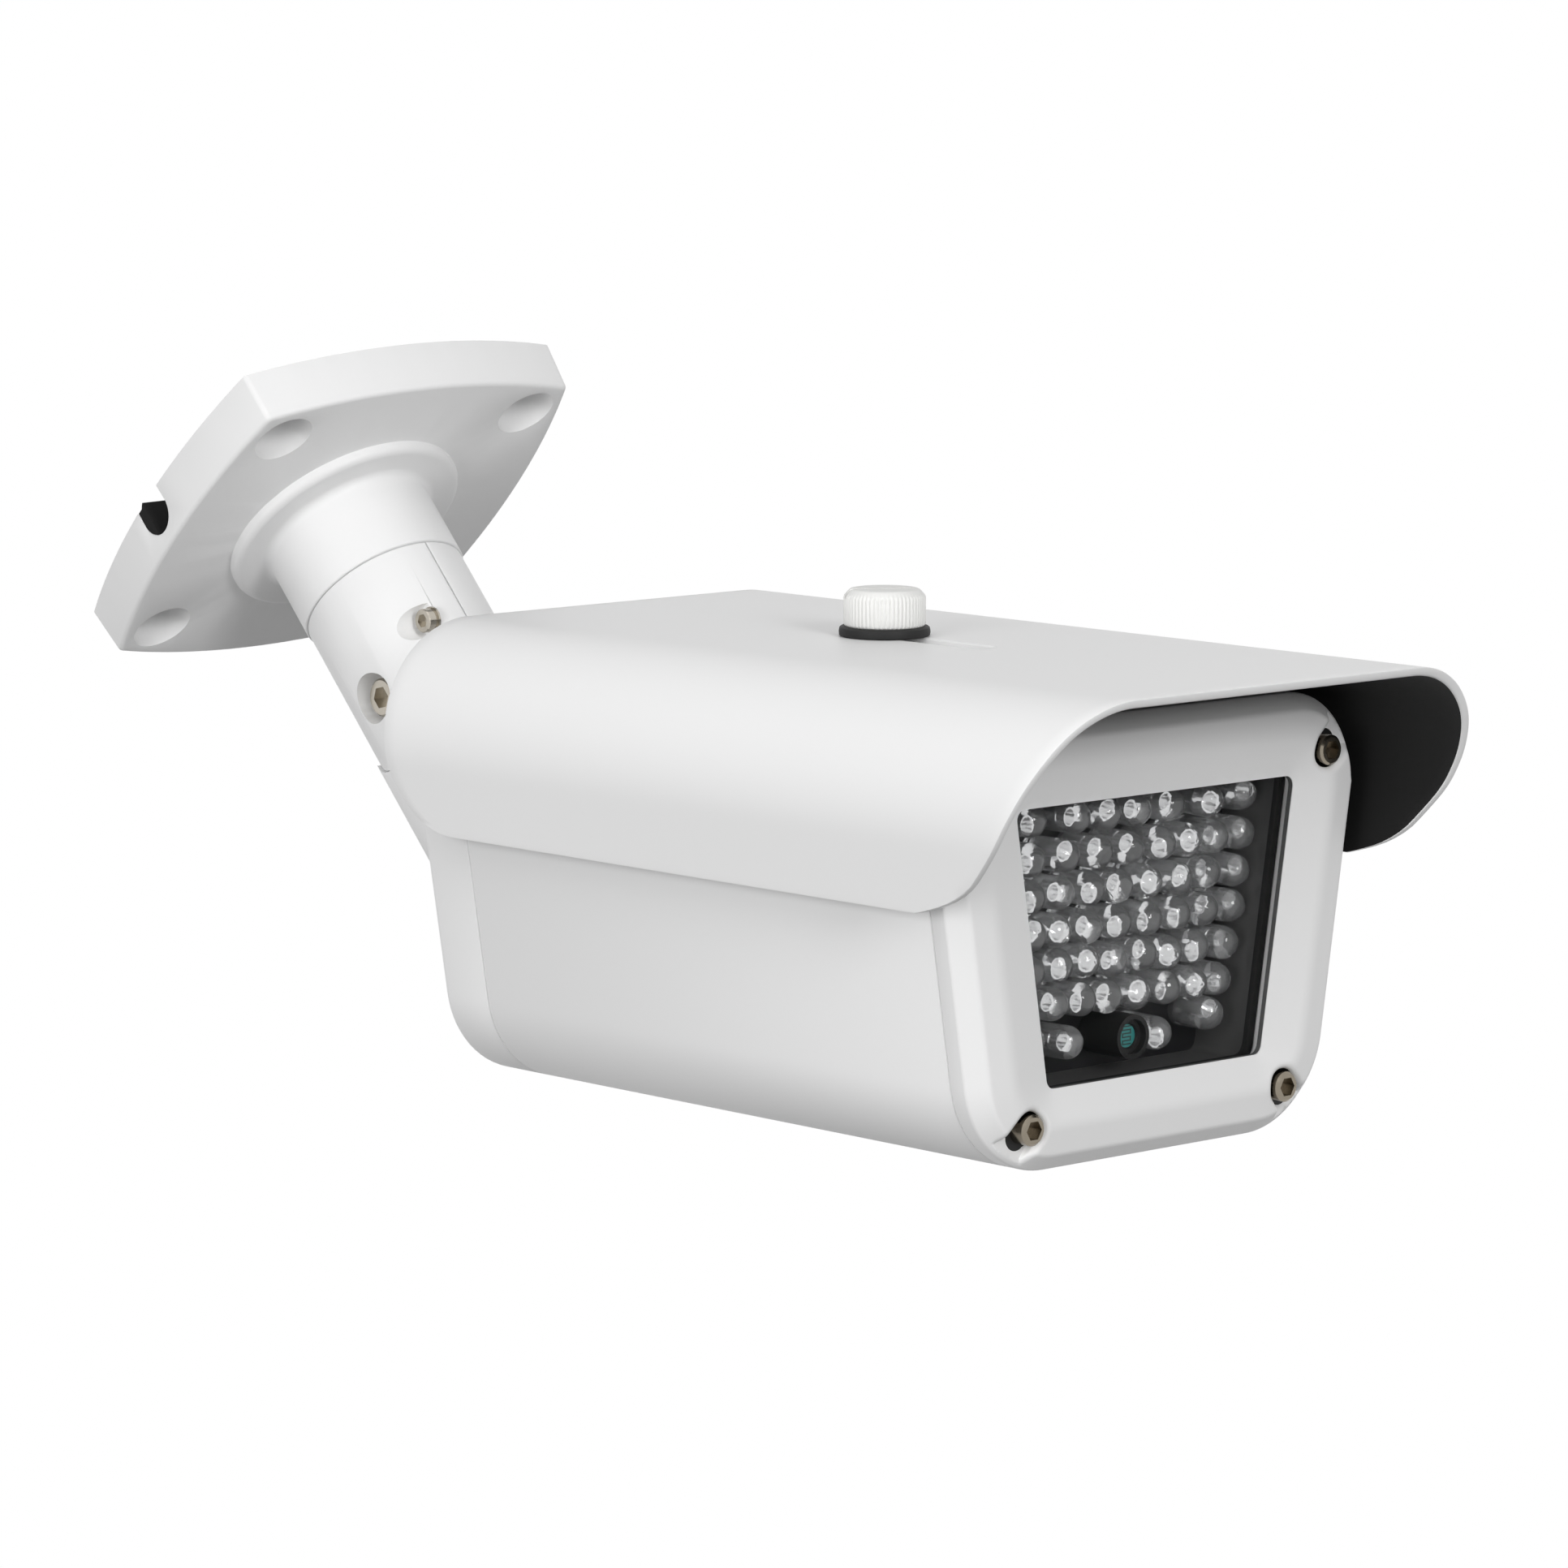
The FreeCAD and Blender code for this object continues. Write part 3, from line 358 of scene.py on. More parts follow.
def look_up(table, x):
    # value between the table's steps
    if x <= table[0][0]:
        return table[0][1]
    for (x0, y0), (x1, y1) in zip(table, table[1:]):
        if x <= x1:
            return y0 + (y1 - y0) * (x - x0) / max(x1 - x0, 1e-9)
    return table[-1][1]


def soft(item, width):
    # softened edges on a carried solid, width in millimetres
    join = item.modifiers.new("join", "WELD")
    join.merge_threshold = 0.004 * MM
    edge = item.modifiers.new("soft_edges", "BEVEL")
    edge.width = width * MM
    edge.segments = 3
    edge.limit_method = "ANGLE"
    edge.angle_limit = math.radians(38)
    edge.use_clamp_overlap = True
    edge.harden_normals = True
    item.data.polygons.foreach_set("use_smooth", [True] * len(item.data.polygons))


def dress(mat, *names, edge=0.0):
    # a finish on carried solids
    for name in names:
        item = nodes[name]
        item.data.materials.clear()
        item.data.materials.append(mat)
        if edge:
            soft(item, edge)


dress(powder_coat, "wall_plate", "knuckle", edge=0.35)
dress(powder_coat, "link_left", "link_right", edge=0.12)
dress(cell_foam, "wall_gasket", "notch_foam")
dress(rubber, "cable_bush", "knuckle_seal", "front_seal", "rear_seal", "window_gasket", "sensor_sleeve")
# the arm's parts in the open take steel with painted light, the screws in shade take steel with painted shade
dress(steel_painted_light, "link_dowels", "clamp_washer", "clamp_lock_washer", "clamp_screw", "tilt_screws")
dress(steel_painted_shade, "knuckle_screws", "frame_screws", "board_screws", "driver_posts", "driver_screws",
      "bezel_screws", "rear_cap_screws")
dress(frame_abs, "inner_frame")
dress(board_black, "lamp_board")
dress(board_green, "driver_board")
dress(sleeve_blue, "capacitors")
dress(ferrite, "coil")
dress(case_epoxy, "regulator")
dress(terminal_nylon, "terminal_block")
dress(brass, "thumb_insert")
dress(sensor_face, "light_sensor")
dress(float_glass, "window_glass")


# Housing: drawn tube with the hood rail on top
TUBE_WALL = 2.5
RAIL_FRONT = 20.0
RAIL_REAR = 94.0
RAIL_HALF = 8.0
RAIL_LOW = 31.5
RAIL_TOP = 36.8
RAIL_CHAMFER = 0.4


def housing_shell():
    ends = [(SEAM_FRONT + depth, inset) for depth, inset in EASE]
    ends += [(SEAM_REAR - depth, inset) for depth, inset in reversed(EASE)]
    places = [(SEAM_FRONT, TUBE_WALL), *ends, (SEAM_REAR, TUBE_WALL)]
    tube = skin([flat(body_loop(inset, SHELL_STEPS), y) for y, inset in places], ring=True)
    rail_loops = []
    for y, inset in ((RAIL_FRONT, RAIL_CHAMFER), (RAIL_FRONT + RAIL_CHAMFER, 0),
                     (RAIL_REAR - RAIL_CHAMFER, 0), (RAIL_REAR, RAIL_CHAMFER)):
        x = RAIL_HALF - inset
        corners = [(-x, RAIL_LOW), (x, RAIL_LOW), (x, RAIL_TOP - inset), (-x, RAIL_TOP - inset)]
        rail_loops.append(flat(rounded(corners, [0.3] * 4, 3, 2), y))
    build("housing_shell", merge([tube, skin(rail_loops, True, True)]), "head", [powder_coat], ["housing"])


# Rear cap: closed casting with a rounded rear edge
CAP_WALL = 2.9
CAP_FLOOR = 3.0
CAP_ROUND = 1.6


def rear_cap_shell():
    places = [(CAP_BACK - CAP_FLOOR, CAP_WALL), (SEAM_REAR, CAP_WALL)]
    places += [(SEAM_REAR + depth, inset) for depth, inset in EASE]
    for k in range(9):
        a = math.radians(90 * k / 8)
        places.append((CAP_BACK - CAP_ROUND + CAP_ROUND * math.sin(a), CAP_ROUND - CAP_ROUND * math.cos(a)))
    loops = [flat(body_loop(inset, SHELL_STEPS), y) for y, inset in places]
    build("rear_cap_shell", skin(loops, True, True), "head", [powder_coat], ["rear_cap"])


housing_shell()
rear_cap_shell()

# Bezel: one height field over the face, as y above inset and window gap. Outside the crease come the
# skirt, a facet and the outer zone; inside it the face falls back to the window
PROFILE = eased([(0, 4.2), (0, 1.85), (2.45, -0.78), (14, -2.51)], [0.8, 1.4])[1:]
CREASE = 6.9
CREASE_Y = -1.45
CREASE_BLEND = 0.42
WINDOW_STEP = 2.0
WINDOW_LIP = 0.95

# Screw seats: sunk flats with a rolled rim, open outwards, and a lobe of painted shade beyond each screw head
SCREWS = ((-26.04, -25.44), (26.04, -25.44), (34.76, 23.52), (-34.76, 23.52))
LOWER_WAY = (0.66, -0.751)
UPPER_WAY = (0.81, 0.586)
SEAT_Y = 1.2
SEAT_R = 2.6
RIM = 1.2
SHADE_LOBE = 1.5
SHADE_LOBE_R = 2.0
RING_INSETS = (0, 0.03, 0.08, 0.15, 0.25, 0.4, 0.6, 0.85, 1.1, 1.35, 1.6, 1.85, 2.1, 2.35, 2.6, 2.85, 3.2,
               3.8, 4.6, 5.1, 5.5, 5.8, 6.1, 6.4, 6.7, 7.0, 7.3, 7.6, 7.9, 8.2, 8.6, 9.0, 9.6, 10.3, 11)
SEAT_RINGS = (0.0, 1.3, 2.2, 2.5, 2.59, 2.61, 2.65, 2.72, 2.82, 2.95, 3.1, 3.3, 3.55, 3.78)


def seat_ways():
    # each screw with the way in which its seat is open
    out = []
    for x, z in SCREWS:
        way = LOWER_WAY if z < 0 else UPPER_WAY
        out.append((x, z, math.copysign(way[0], x), way[1]))
    return out


SEATS = seat_ways()


def inside(outline, x, z):
    # distance inwards from a rounded outline, negative outside it
    x = abs(x)
    tilt = math.atan(outline.lean)
    side = Vector((math.cos(tilt), -math.sin(tilt)))
    for r, up in ((outline.low_r, -1), (outline.high_r, 1)):
        centre_z = up * (outline.high - r)
        centre_x = outline.half + outline.lean * centre_z - r * math.hypot(1, outline.lean)
        d = Vector((x - centre_x, z - centre_z))
        if up * d.y > 0 and d.x > 0 and (d.y * side.x - d.x * side.y) * up > 0:
            return r - d.length
    edge = (outline.half + outline.lean * z - x) / math.hypot(1, outline.lean)
    return min(edge, outline.high - z, z + outline.high)


def seat_frames(x, z):
    # the point along and across each seat's way
    return [((x - sx) * wx + (z - sz) * wz, (z - sz) * wx - (x - sx) * wz) for sx, sz, wx, wz in SEATS]


def seat_gap(x, z):
    # distance from the middle line of the nearest seat
    return min(abs(off) if run > 0 else math.hypot(run, off) for run, off in seat_frames(x, z))


def shade_gap(x, z):
    # distance outside the painted shade at the bottom of the nearest seat
    return min(min(math.hypot(run, off) - SEAT_R, math.hypot(run - SHADE_LOBE, off) - SHADE_LOBE_R)
               for run, off in seat_frames(x, z))


def bezel_height(x, z):
    inset = inside(BODY, x, z)
    outer = look_up(PROFILE, inset)
    gap = max(-inside(WINDOW, x, z), 0)
    inner = CREASE_Y * gap / max(gap + inset - CREASE, 0.5)
    blend = max(CREASE_BLEND - abs(outer - inner), 0) / CREASE_BLEND
    y = max(outer, inner) + blend * blend * CREASE_BLEND / 4
    r = seat_gap(x, z)
    if r <= SEAT_R:
        return max(y, SEAT_Y)
    if r < SEAT_R + RIM:
        q = 1 - (r - SEAT_R) / RIM
        return max(y, min(y + RIM * (1 - math.sqrt(max(1 - q * q, 0))), SEAT_Y))
    return y


def bezel_spots():
    # points of the height field: rings along the body's outline, the window rim, and lines along each seat
    spots = []
    for inset in RING_INSETS:
        for x, z in body_loop(inset, BEZEL_STEPS):
            clear = seat_gap(x, z) > SEAT_R + RIM + 0.05 or inset < 0.7
            if clear and -inside(WINDOW, x, z) > 1.0:
                spots.append((x, z))
    for outset in (0, 0.12, 0.35, 0.75):
        spots += window_loop(outset, WINDOW.low_r + outset)
    for sx, sz, wx, wz in SEATS:
        for r in SEAT_RINGS:
            around = []
            for k in range(29):
                a = math.pi / 2 + math.pi * k / 28
                around.append((r * math.cos(a), r * math.sin(a)))
            for k in range(1, 27):
                around += [(k * 0.3, r), (k * 0.3, -r)]
            for run, off in around:
                x = sx + run * wx - off * wz
                z = sz + run * wz + off * wx
                if inside(BODY, x, z) > 0.72:
                    spots.append((x, z))
    for sx, sz, wx, wz in SEATS:
        for r in (SHADE_LOBE_R - 0.03, SHADE_LOBE_R + 0.03):
            for k in range(25):
                a = math.radians(-75 + 150 * k / 24)
                run = SHADE_LOBE + r * math.cos(a)
                off = r * math.sin(a)
                if math.hypot(run, off) > SEAT_R + 0.02:
                    spots.append((sx + run * wx - off * wz, sz + run * wz + off * wx))
    return spots


def field_normals(item, count, verts):
    # exact shading on the height field's first faces, the mesh's own elsewhere
    mesh = item.data
    flip = HEAD.to_3x3().normalized()
    normals = [c.vector.copy() for c in mesh.corner_normals]
    known = {}
    step = 0.02
    for poly in mesh.polygons[:count]:
        for k in poly.loop_indices:
            v = mesh.loops[k].vertex_index
            if v not in known:
                x, y, z = verts[v]
                rise_x = (bezel_height(x + step, z) - bezel_height(x - step, z)) / (2 * step)
                rise_z = (bezel_height(x, z + step) - bezel_height(x, z - step)) / (2 * step)
                known[v] = Vector((rise_x, -1, rise_z)).normalized()
            n = flip @ known[v]
            if n.dot(poly.normal) < 0:
                n = -n
            normals[k] = n if n.angle(poly.normal) < math.radians(50) else poly.normal.copy()
    mesh.normals_split_custom_set(normals)


def bezel_front():
    result = delaunay_2d_cdt([Vector(p) for p in bezel_spots()], [], [], 0, 1e-5)
    plan = result[0]
    faces = []
    kinds = []
    for face in result[2]:
        x = sum(plan[i].x for i in face) / 3
        z = sum(plan[i].y for i in face) / 3
        if inside(WINDOW, x, z) < 0.02 and inside(BODY, x, z) > -0.02:
            faces.append(tuple(face))
            # faces inside the painted shade of the seats take the dark finish
            kinds.append(1 if shade_gap(x, z) < 0.02 else 0)
    front = [(p.x, bezel_height(p.x, p.y), p.y) for p in plan]
    skirt = skin([flat(body_loop(inset, BEZEL_STEPS), SEAM_FRONT - depth) for depth, inset in EASE]
                 + [flat(body_loop(0, BEZEL_STEPS), look_up(PROFILE, 0))])
    lip = [flat(window_loop(0, WINDOW.low_r), y) for y in (0.0, 0.15, WINDOW_LIP)]
    recess = [flat(window_loop(WINDOW_STEP, 3.3), y) for y in (WINDOW_LIP, SEAM_FRONT)]
    back = [flat(body_loop(EASE[0][1], OPENING_STEPS), SEAM_FRONT)]
    shape = merge([(front, faces), skirt, skin(lip + recess + back)])
    around = len(lip[0])
    kinds += [0] * (len(skirt[1]) + around) + [2] * around + [0] * (3 * around)
    mats = [powder_coat, seat_painted_shade, frame_abs]
    item = build("bezel_front", shape, "head", mats, ["bezel"], kinds, angle=40)
    field_normals(item, len(faces), front)


bezel_front()

# Hood: one bent sheet with painted shade inside, a swept front edge and rounded rear corners
SWEEP = ((-24.0, 38.6), (-23.9, 38.2), (-22.8, 35.9), (-21.7, 33.3), (-20.4, 30), (-18.5, 26.1),
         (-16.2, 21.9), (-13.4, 17.6), (-9.1, 12.85), (-7.2, 11.2), (-5.0, 9.85), (-2.3, 8.65),
         (1.67, 7.44), (5.15, 6.6), (9, 5.9))
HOOD_HALF = 0.65
HOOD_EDGE = 0.3
CROWN_Z = 37.45
BEND_X = 28.5
BEND_Z = 20.1
BEND_R = 17.35
FLANK_LEAN = math.radians(10)
FLANK_LOW = 7.0
REAR_Y = 118.0
REAR_CORNER = 13.0
SLOT_HALF = 2.3
SLOT_FRONT = 34.4
SLOT_REAR = 59.6


def front_edge():
    # the swept edge as y over z, a smooth curve through the points of SWEEP
    out = []
    points = [Vector(p) for p in SWEEP]
    for i in range(1, len(points) - 2):
        a, b, c, d = points[i - 1:i + 3]
        for k in range(12):
            t = k / 12
            p = 0.5 * ((2 * b) + (c - a) * t + (2 * a - 5 * b + 4 * c - d) * t * t
                       + (3 * b - a - 3 * c + d) * t ** 3)
            out.append((p.y, p.x))
    return sorted(out)


def rear_edge(z):
    if z >= BEND_Z - 0.1:
        return REAR_Y + (z - BEND_Z + 0.1) * 1.5 / 18.1
    return REAR_Y - REAR_CORNER + math.sqrt(max(REAR_CORNER ** 2 - (BEND_Z - 0.1 - z) ** 2, 0))


def hood_line():
    # middle line of the sheet: x, z, outward x, outward z and half thickness, low edge to low edge
    half = [(x, CROWN_Z, 0.0, 1.0, HOOD_HALF) for x in (0, 1, 2.3, 4, 8, 14, 20, 25)]
    for k in range(41):
        a = math.radians(90 - 100 * k / 40)
        out_x = math.cos(a)
        out_z = math.sin(a)
        half.append((BEND_X + BEND_R * out_x, BEND_Z + BEND_R * out_z, out_x, out_z, HOOD_HALF))
    out_x = math.cos(FLANK_LEAN)
    out_z = -math.sin(FLANK_LEAN)
    x0 = BEND_X + BEND_R * out_x
    z0 = BEND_Z + BEND_R * out_z
    length = (z0 - FLANK_LOW) / out_x
    downs = [(length * f, HOOD_HALF) for f in (0.12, 0.25, 0.38, 0.5, 0.6, 0.7, 0.78, 0.85, 0.9, 0.94, 0.97)]
    downs += [(length - back, thick) for back, thick in ((0.06, 0.62), (0.02, 0.5), (0.0, 0.35))]
    half += [(x0 + down * out_z, z0 - down * out_x, out_x, out_z, thick) for down, thick in downs]
    return [(-x, z, -nx, nz, thick) for x, z, nx, nz, thick in reversed(half) if x > 0] + half


def sheet_round(thick):
    # once round the sheet from front to rear: place kind, distance or share, and height off the middle
    edge = min(HOOD_EDGE, thick)
    corner = [(edge, thick), (edge * 0.29, thick - edge * 0.29), (0, thick - edge)]
    outer = [("front", d, t) for d, t in reversed(corner)]
    outer += [("between", f, thick) for f in (0.02, 0.1, 0.25, 0.5, 0.75, 0.9, 0.98)]
    outer += [("rear", d, t) for d, t in corner]
    return outer + [(kind, d, -t) for kind, d, t in reversed(outer)]


def hood_sheet():
    edge = front_edge()
    loops = []
    for x, z, out_x, out_z, thick in hood_line():
        loop = []
        for kind, d, t in sheet_round(thick):
            px = x + out_x * t
            pz = z + out_z * t
            y0 = look_up(edge, pz)
            y1 = rear_edge(pz)
            y = y0 + d if kind == "front" else y1 - d if kind == "rear" else y0 + (y1 - y0) * d
            loop.append((px, y, pz))
        loops.append(loop)
    count = len(loops[0])
    verts, faces = skin(loops)
    # the inner faces of the sheet take the painted shade
    shaded_side = range(count // 2 + 2, count - 3)
    kinds = [1 if face[0] % count in shaded_side and face[1] % count >= shaded_side.start else 0 for face in faces]
    for base in (0, (len(loops) - 1) * count):
        for k in range(count // 2 - 1):
            faces.append((base + k, base + k + 1, base + count - 2 - k, base + count - 1 - k))
            kinds.append(0)
    hood = build("hood_sheet", (verts, faces), "hood", [powder_coat, hood_painted_shade], ["hood"], kinds)
    cut_loops = []
    for z, grow in ((38.4, 0.4), (38.1, 0.3), (37.85, 0.0), (36, 0.0)):
        half = SLOT_HALF + grow
        corners = [(-half, SLOT_FRONT - grow), (half, SLOT_FRONT - grow), (half, SLOT_REAR + grow),
                   (-half, SLOT_REAR + grow)]
        cut_loops.append([(x, y, z) for x, y in rounded(corners, [half - 0.02] * 4, 12, 3)])
    carve(hood, build("slot_cutter", skin(cut_loops, True, True), None, [powder_coat]), 35)


hood_sheet()

# Thumbscrew: ribbed knob with a coin slot, its shank, and a rubber washer below
KNOB_Y = 57.0
KNOB_R = 6.15
KNOB_LOW = 39.6
RIBS = 59
RIB_DEPTH = 0.28
RIB_STEPS = 6
COIN_HALF = 0.55
COIN_FLOOR = 43.8
COIN_TURN = math.radians(60)
WASHER_LOW = 38.14


def thumbscrew():
    loops = []
    for z, shrink, rib in ((KNOB_LOW, 0.35, 0.0), (39.75, 0.15, 0.3), (40.0, 0.0, 1.0), (43.9, 0.0, 1.0),
                           (44.2, 0.1, 0.6), (44.5, 0.35, 0.1), (45.0, 0.8, 0.0), (45.15, 1.0, 0.0),
                           (45.2, 1.3, 0.0)):
        loop = []
        for k in range(RIBS * RIB_STEPS):
            a = 2 * math.pi * k / (RIBS * RIB_STEPS)
            r = KNOB_R - shrink - RIB_DEPTH * rib * (0.5 - 0.5 * math.cos(RIBS * a)) ** 2
            loop.append((r * math.cos(a), KNOB_Y + r * math.sin(a), z))
        loops.append(loop)
    knob = build("knob", skin(loops, True, True), "thumbscrew", [knob_abs], ["thumbscrew"], angle=50)
    axis = Matrix.Translation((0, KNOB_Y, 0))
    turn = axis @ Matrix.Rotation(COIN_TURN, 4, "Z") @ axis.inverted()
    coin = moved(block((-COIN_HALF, 40, COIN_FLOOR), (COIN_HALF, 74, 47)), turn)
    carve(knob, build("coin_cutter", coin, None, [knob_abs]), 45)
    shank = [(0.01, 39.7), (2.0, 39.7), (2.0, 29.0), (1.6, 28.5), (0.01, 28.5)]
    build("thumb_shank", turned(shank, 32, (0, KNOB_Y), False), "thumbscrew", [knob_abs])
    washer = [(2.4, WASHER_LOW), (6.6, WASHER_LOW), (6.8, 38.3), (6.85, 38.85), (6.75, 39.4), (6.5, KNOB_LOW),
              (2.4, KNOB_LOW)]
    build("knob_washer", turned(washer, 72, (0, KNOB_Y)), "thumbscrew", [rubber], ["thumb_washer"])


thumbscrew()

# Lamps: clear domed bodies with a lead frame inside, one for each place on the board, row by row
LAMP_ROWS = ((16.8, (26.1, 19.2, 10.8, 4.1, -2.6, -8.8, -17.5, -24.4)),
             (11.2, (25.5, 20.0, 14.5, 9.3, 2.4, -3.9, -10.9, -17.3, -23.6)),
             (5.95, (24.2, 18.2, 12.3, 6.3, 0.4, -5.6, -11.6, -17.6, -23.4)),
             (0.6, (23.4, 17.9, 11.9, 5.9, -0.1, -6.0, -12.0, -17.7, -23.2)),
             (-4.7, (22.3, 16.3, 10.6, 4.9, -0.9, -6.6, -12.3, -18.1)),
             (-10.0, (21.0, 15.7, 9.9, 4.2, -1.6, -7.3, -13.0, -18.9)))
LOWEST_LAMPS = ((19.9, -15.1), (8.5, -16.6), (-9.8, -16.1), (-17.2, -15.0))
LAMP_SEAT = 14.6
LAMP_R = 2.5
LAMP_STRAIGHT = 6.1
LAMP_LEAN = 0.05
LAMP_TURN = 3.14
LAMP_SEED = 4
TO_FRONT = Matrix.Rotation(math.radians(90), 4, "X")


def scatter(name, shape, spots, mat, stands_for=()):
    # one shape on every spot, leaning and turned at random, through Geometry Nodes
    verts, faces = moved(shape, SCALE @ TO_FRONT)
    mesh = bpy.data.meshes.new(name + "_single")
    mesh.from_pydata(verts, [], faces)
    single = link(name + "_single", mesh)
    cloud = bpy.data.meshes.new(name + "_spots")
    cloud.from_pydata([HEAD @ Vector(p) for p in spots], [], [])
    item = link(name, cloud)
    tree = bpy.data.node_groups.new(name + "_nodes", "GeometryNodeTree")
    sockets = {}
    for label, kind in (("Geometry", "Geometry"), ("Shape", "Object"), ("Least turn", "Vector"),
                        ("Most turn", "Vector"), ("Seed", "Int"), ("Finish", "Material")):
        sockets[label] = tree.interface.new_socket(label, in_out="INPUT", socket_type="NodeSocket" + kind)
    tree.interface.new_socket("Geometry", in_out="OUTPUT", socket_type="NodeSocketGeometry")
    given = add(tree, "NodeGroupInput").outputs
    chance = add(tree, "FunctionNodeRandomValue", data_type="FLOAT_VECTOR")
    for socket, source in (("Min", "Least turn"), ("Max", "Most turn"), ("Seed", "Seed")):
        tree.links.new(given[source], chance.inputs[socket])
    info = add(tree, "GeometryNodeObjectInfo", [("Object", given["Shape"])])
    copies = add(tree, "GeometryNodeInstanceOnPoints",
                 [("Points", given["Geometry"]), ("Instance", info.outputs["Geometry"]),
                  ("Rotation", chance.outputs[0])])
    real = add(tree, "GeometryNodeRealizeInstances", [(0, copies.outputs[0])])
    cover = add(tree, "GeometryNodeSetMaterial", [(0, real.outputs[0]), ("Material", given["Finish"])])
    add(tree, "NodeGroupOutput", [(0, cover.outputs[0])])
    change = item.modifiers.new("copies", "NODES")
    change.node_group = tree
    for label, value in (("Shape", single), ("Least turn", (-LAMP_LEAN, -LAMP_TURN, -LAMP_LEAN)),
                         ("Most turn", (LAMP_LEAN, LAMP_TURN, LAMP_LEAN)), ("Seed", LAMP_SEED),
                         ("Finish", mat)):
        change[sockets[label].identifier] = value
    apply_all(item)
    bpy.data.objects.remove(single)
    smooth(item.data, 40)
    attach(item, "head")
    if stands_for:
        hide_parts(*stands_for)


def lamp_body():
    profile = [(0.01, 0), (LAMP_R, 0), (LAMP_R, LAMP_STRAIGHT)]
    for k in range(1, 9):
        a = math.radians(90 * k / 8)
        profile.append((max(LAMP_R * math.cos(a), 0.01), LAMP_STRAIGHT + LAMP_R * math.sin(a)))
    return turned(profile, 28, ring=False)


def lead_frame():
    anvil = block((-1.8, -0.55, 0.2), (0.1, 0.55, 4.4))
    post = block((0.5, -0.5, 0.2), (1.8, 0.5, 5.2))
    cup = turned([(0.01, 4.4), (0.3, 4.4), (0.55, 5.0), (0.8, 5.9), (1.0, 5.9), (1.05, 4.1), (0.01, 4.1)], 20,
                 (-0.5, 0), False)
    return merge([anvil, post, cup])


lamp_spots = [(x, LAMP_SEAT, z) for z, row in LAMP_ROWS for x in row]
lamp_spots += [(x, LAMP_SEAT, z) for x, z in LOWEST_LAMPS]
scatter("lamp_bodies", lamp_body(), lamp_spots, lamp_epoxy, ["lamps"])
scatter("lamp_leads", lead_frame(), lamp_spots, tinned_steel)

# Light sensor: dark rim round a small face with a folded track
SENSOR = (2.1, 7.95, -16.3)
TRACK_LOW = -17.6
TRACK_STEP = 0.52
TRACK_WIDE = 0.2


def light_sensor():
    facing = Vector((0, -1, 0)).to_track_quat("Z", "Y").to_matrix().to_4x4()
    rim = turned([(1.7, 0.0), (2.55, 0.0), (2.55, 0.35), (1.9, 0.35)], 40)
    build("sensor_rim", moved(rim, Matrix.Translation(SENSOR) @ facing), "head", [rubber])
    bars = []
    for k in range(6):
        z = TRACK_LOW + TRACK_STEP * k
        bars.append(plate(1.2, 3.0, z, z + TRACK_WIDE, 7.93, 7.99))
        x = 2.8 if k % 2 else 1.2
        if k < 5:
            bars.append(plate(x, x + TRACK_WIDE, z + 0.1, z + 0.6, 7.94, 7.98))
    build("sensor_track", merge(bars), "head", [sensor_print])


light_sensor()

# Backdrop: a wide floor and a plain world, white where they are seen, mirrored or looked at through glass
WHITE = (1, 1, 1, 1)
FLOOR_HALF = 4000
FLOOR_TOP = -900


def white_where_seen(tree, lit, white, surface):
    path = add(tree, "ShaderNodeLightPath").outputs
    mirrored = add(tree, "ShaderNodeMath", [(0, path["Is Camera Ray"]), (1, path["Is Glossy Ray"])],
                   operation="MAXIMUM")
    seen = add(tree, "ShaderNodeMath", [(0, mirrored.outputs[0]), (1, path["Is Transmission Ray"])],
               operation="MAXIMUM")
    blend = add(tree, "ShaderNodeMixShader",
                [(0, seen.outputs[0]), (1, lit.outputs[0]), (2, white.outputs[0])])
    tree.links.new(blend.outputs[0], surface)


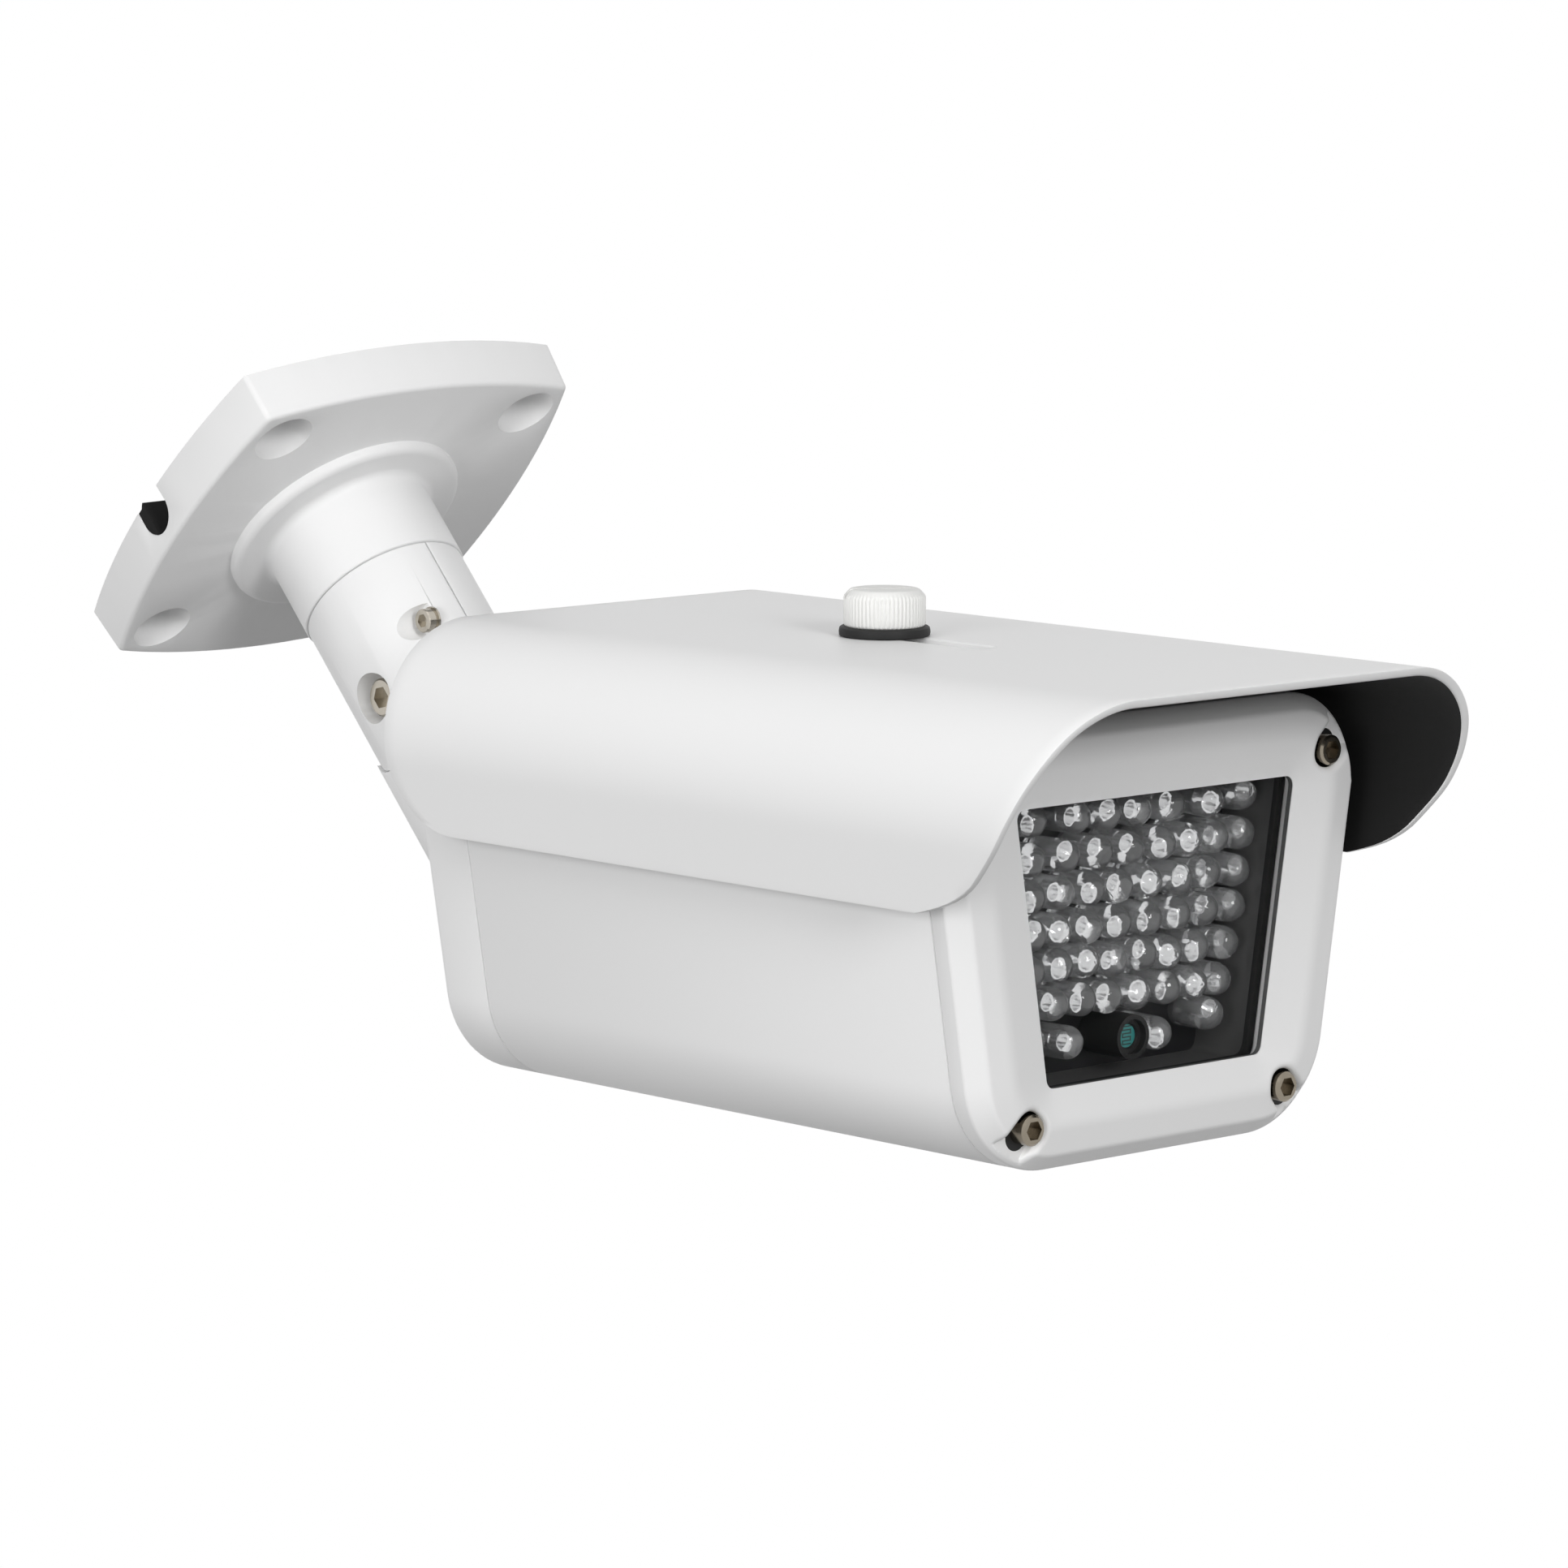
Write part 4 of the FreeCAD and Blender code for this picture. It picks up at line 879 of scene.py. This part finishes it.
def backdrop():
    pale = bpy.data.materials.new("pale_studio_floor")
    pale.use_nodes = True
    tree = pale.node_tree
    shader = tree.nodes["Principled BSDF"]
    shader.inputs["Base Color"].default_value = linear("6A6A6A")
    shader.inputs["Roughness"].default_value = 0.9
    white_where_seen(tree, shader, add(tree, "ShaderNodeEmission", Color=WHITE),
                     tree.nodes["Material Output"].inputs["Surface"])
    slab = block((-FLOOR_HALF, -FLOOR_HALF, FLOOR_TOP - 1), (FLOOR_HALF, FLOOR_HALF, FLOOR_TOP))
    build("floor", slab, None, [pale], place=SCALE)
    world = bpy.data.worlds.new("studio")
    bpy.context.scene.world = world
    world.use_nodes = True
    tree = world.node_tree
    dim = tree.nodes["Background"]
    dim.inputs["Color"].default_value = WHITE
    dim.inputs["Strength"].default_value = 0.38
    white_where_seen(tree, dim, add(tree, "ShaderNodeBackground", Color=WHITE, Strength=1.0),
                     tree.nodes["World Output"].inputs["Surface"])


OBJECT_MIDDLE = Vector((0, -0.12, -0.05))


def softbox(name, place, size, power):
    # a soft light aimed at the middle of the object, in metres and watts
    data = bpy.data.lights.new(name, "AREA")
    data.shape = "RECTANGLE"
    data.size = size[0]
    data.size_y = size[1]
    data.energy = power
    item = link(name, data)
    item.location = place
    item.rotation_euler = (Vector(place) - OBJECT_MIDDLE).to_track_quat("Z", "Y").to_euler()


backdrop()
softbox("left_softbox", (-1.45, -0.4, 0.1), (0.9, 1.0), 11.3)
softbox("top_softbox", (-0.45, -0.2, 1.25), (1.6, 1.6), 3.2)
softbox("front_softbox", (-0.3, -1.55, 0.5), (0.4, 0.5), 9.5)

# Camera at the photograph's angle: focal length in its pixels, place in metres from the window centre
PHOTO_WIDE = 1932
FOCAL_PIXELS = 8239.66
SENSOR_WIDE = 36
CAMERA_PLACE = Vector((-0.68061, -0.66209, 0.14877))
CAMERA_RIGHT = Vector((0.73667, -0.67625, 0.00117))
CAMERA_UP = Vector((0.08917, 0.09886, 0.99110))
CAMERA_BACK = Vector((-0.67034, -0.73001, 0.13313))


def photo_camera():
    data = bpy.data.cameras.new("photo_camera")
    data.sensor_width = SENSOR_WIDE
    data.lens = FOCAL_PIXELS / PHOTO_WIDE * SENSOR_WIDE
    data.clip_start = 0.05
    data.clip_end = 20
    camera = link("photo_camera", data)
    turn = Matrix((CAMERA_RIGHT, CAMERA_UP, CAMERA_BACK)).transposed().to_4x4()
    place = CAMERA_PLACE + Vector((0, WINDOW_Y, WINDOW_Z)) * MM
    camera.matrix_world = Matrix.Translation(place) @ turn
    bpy.context.scene.camera = camera


photo_camera()
bpy.context.scene.view_settings.view_transform = "Standard"
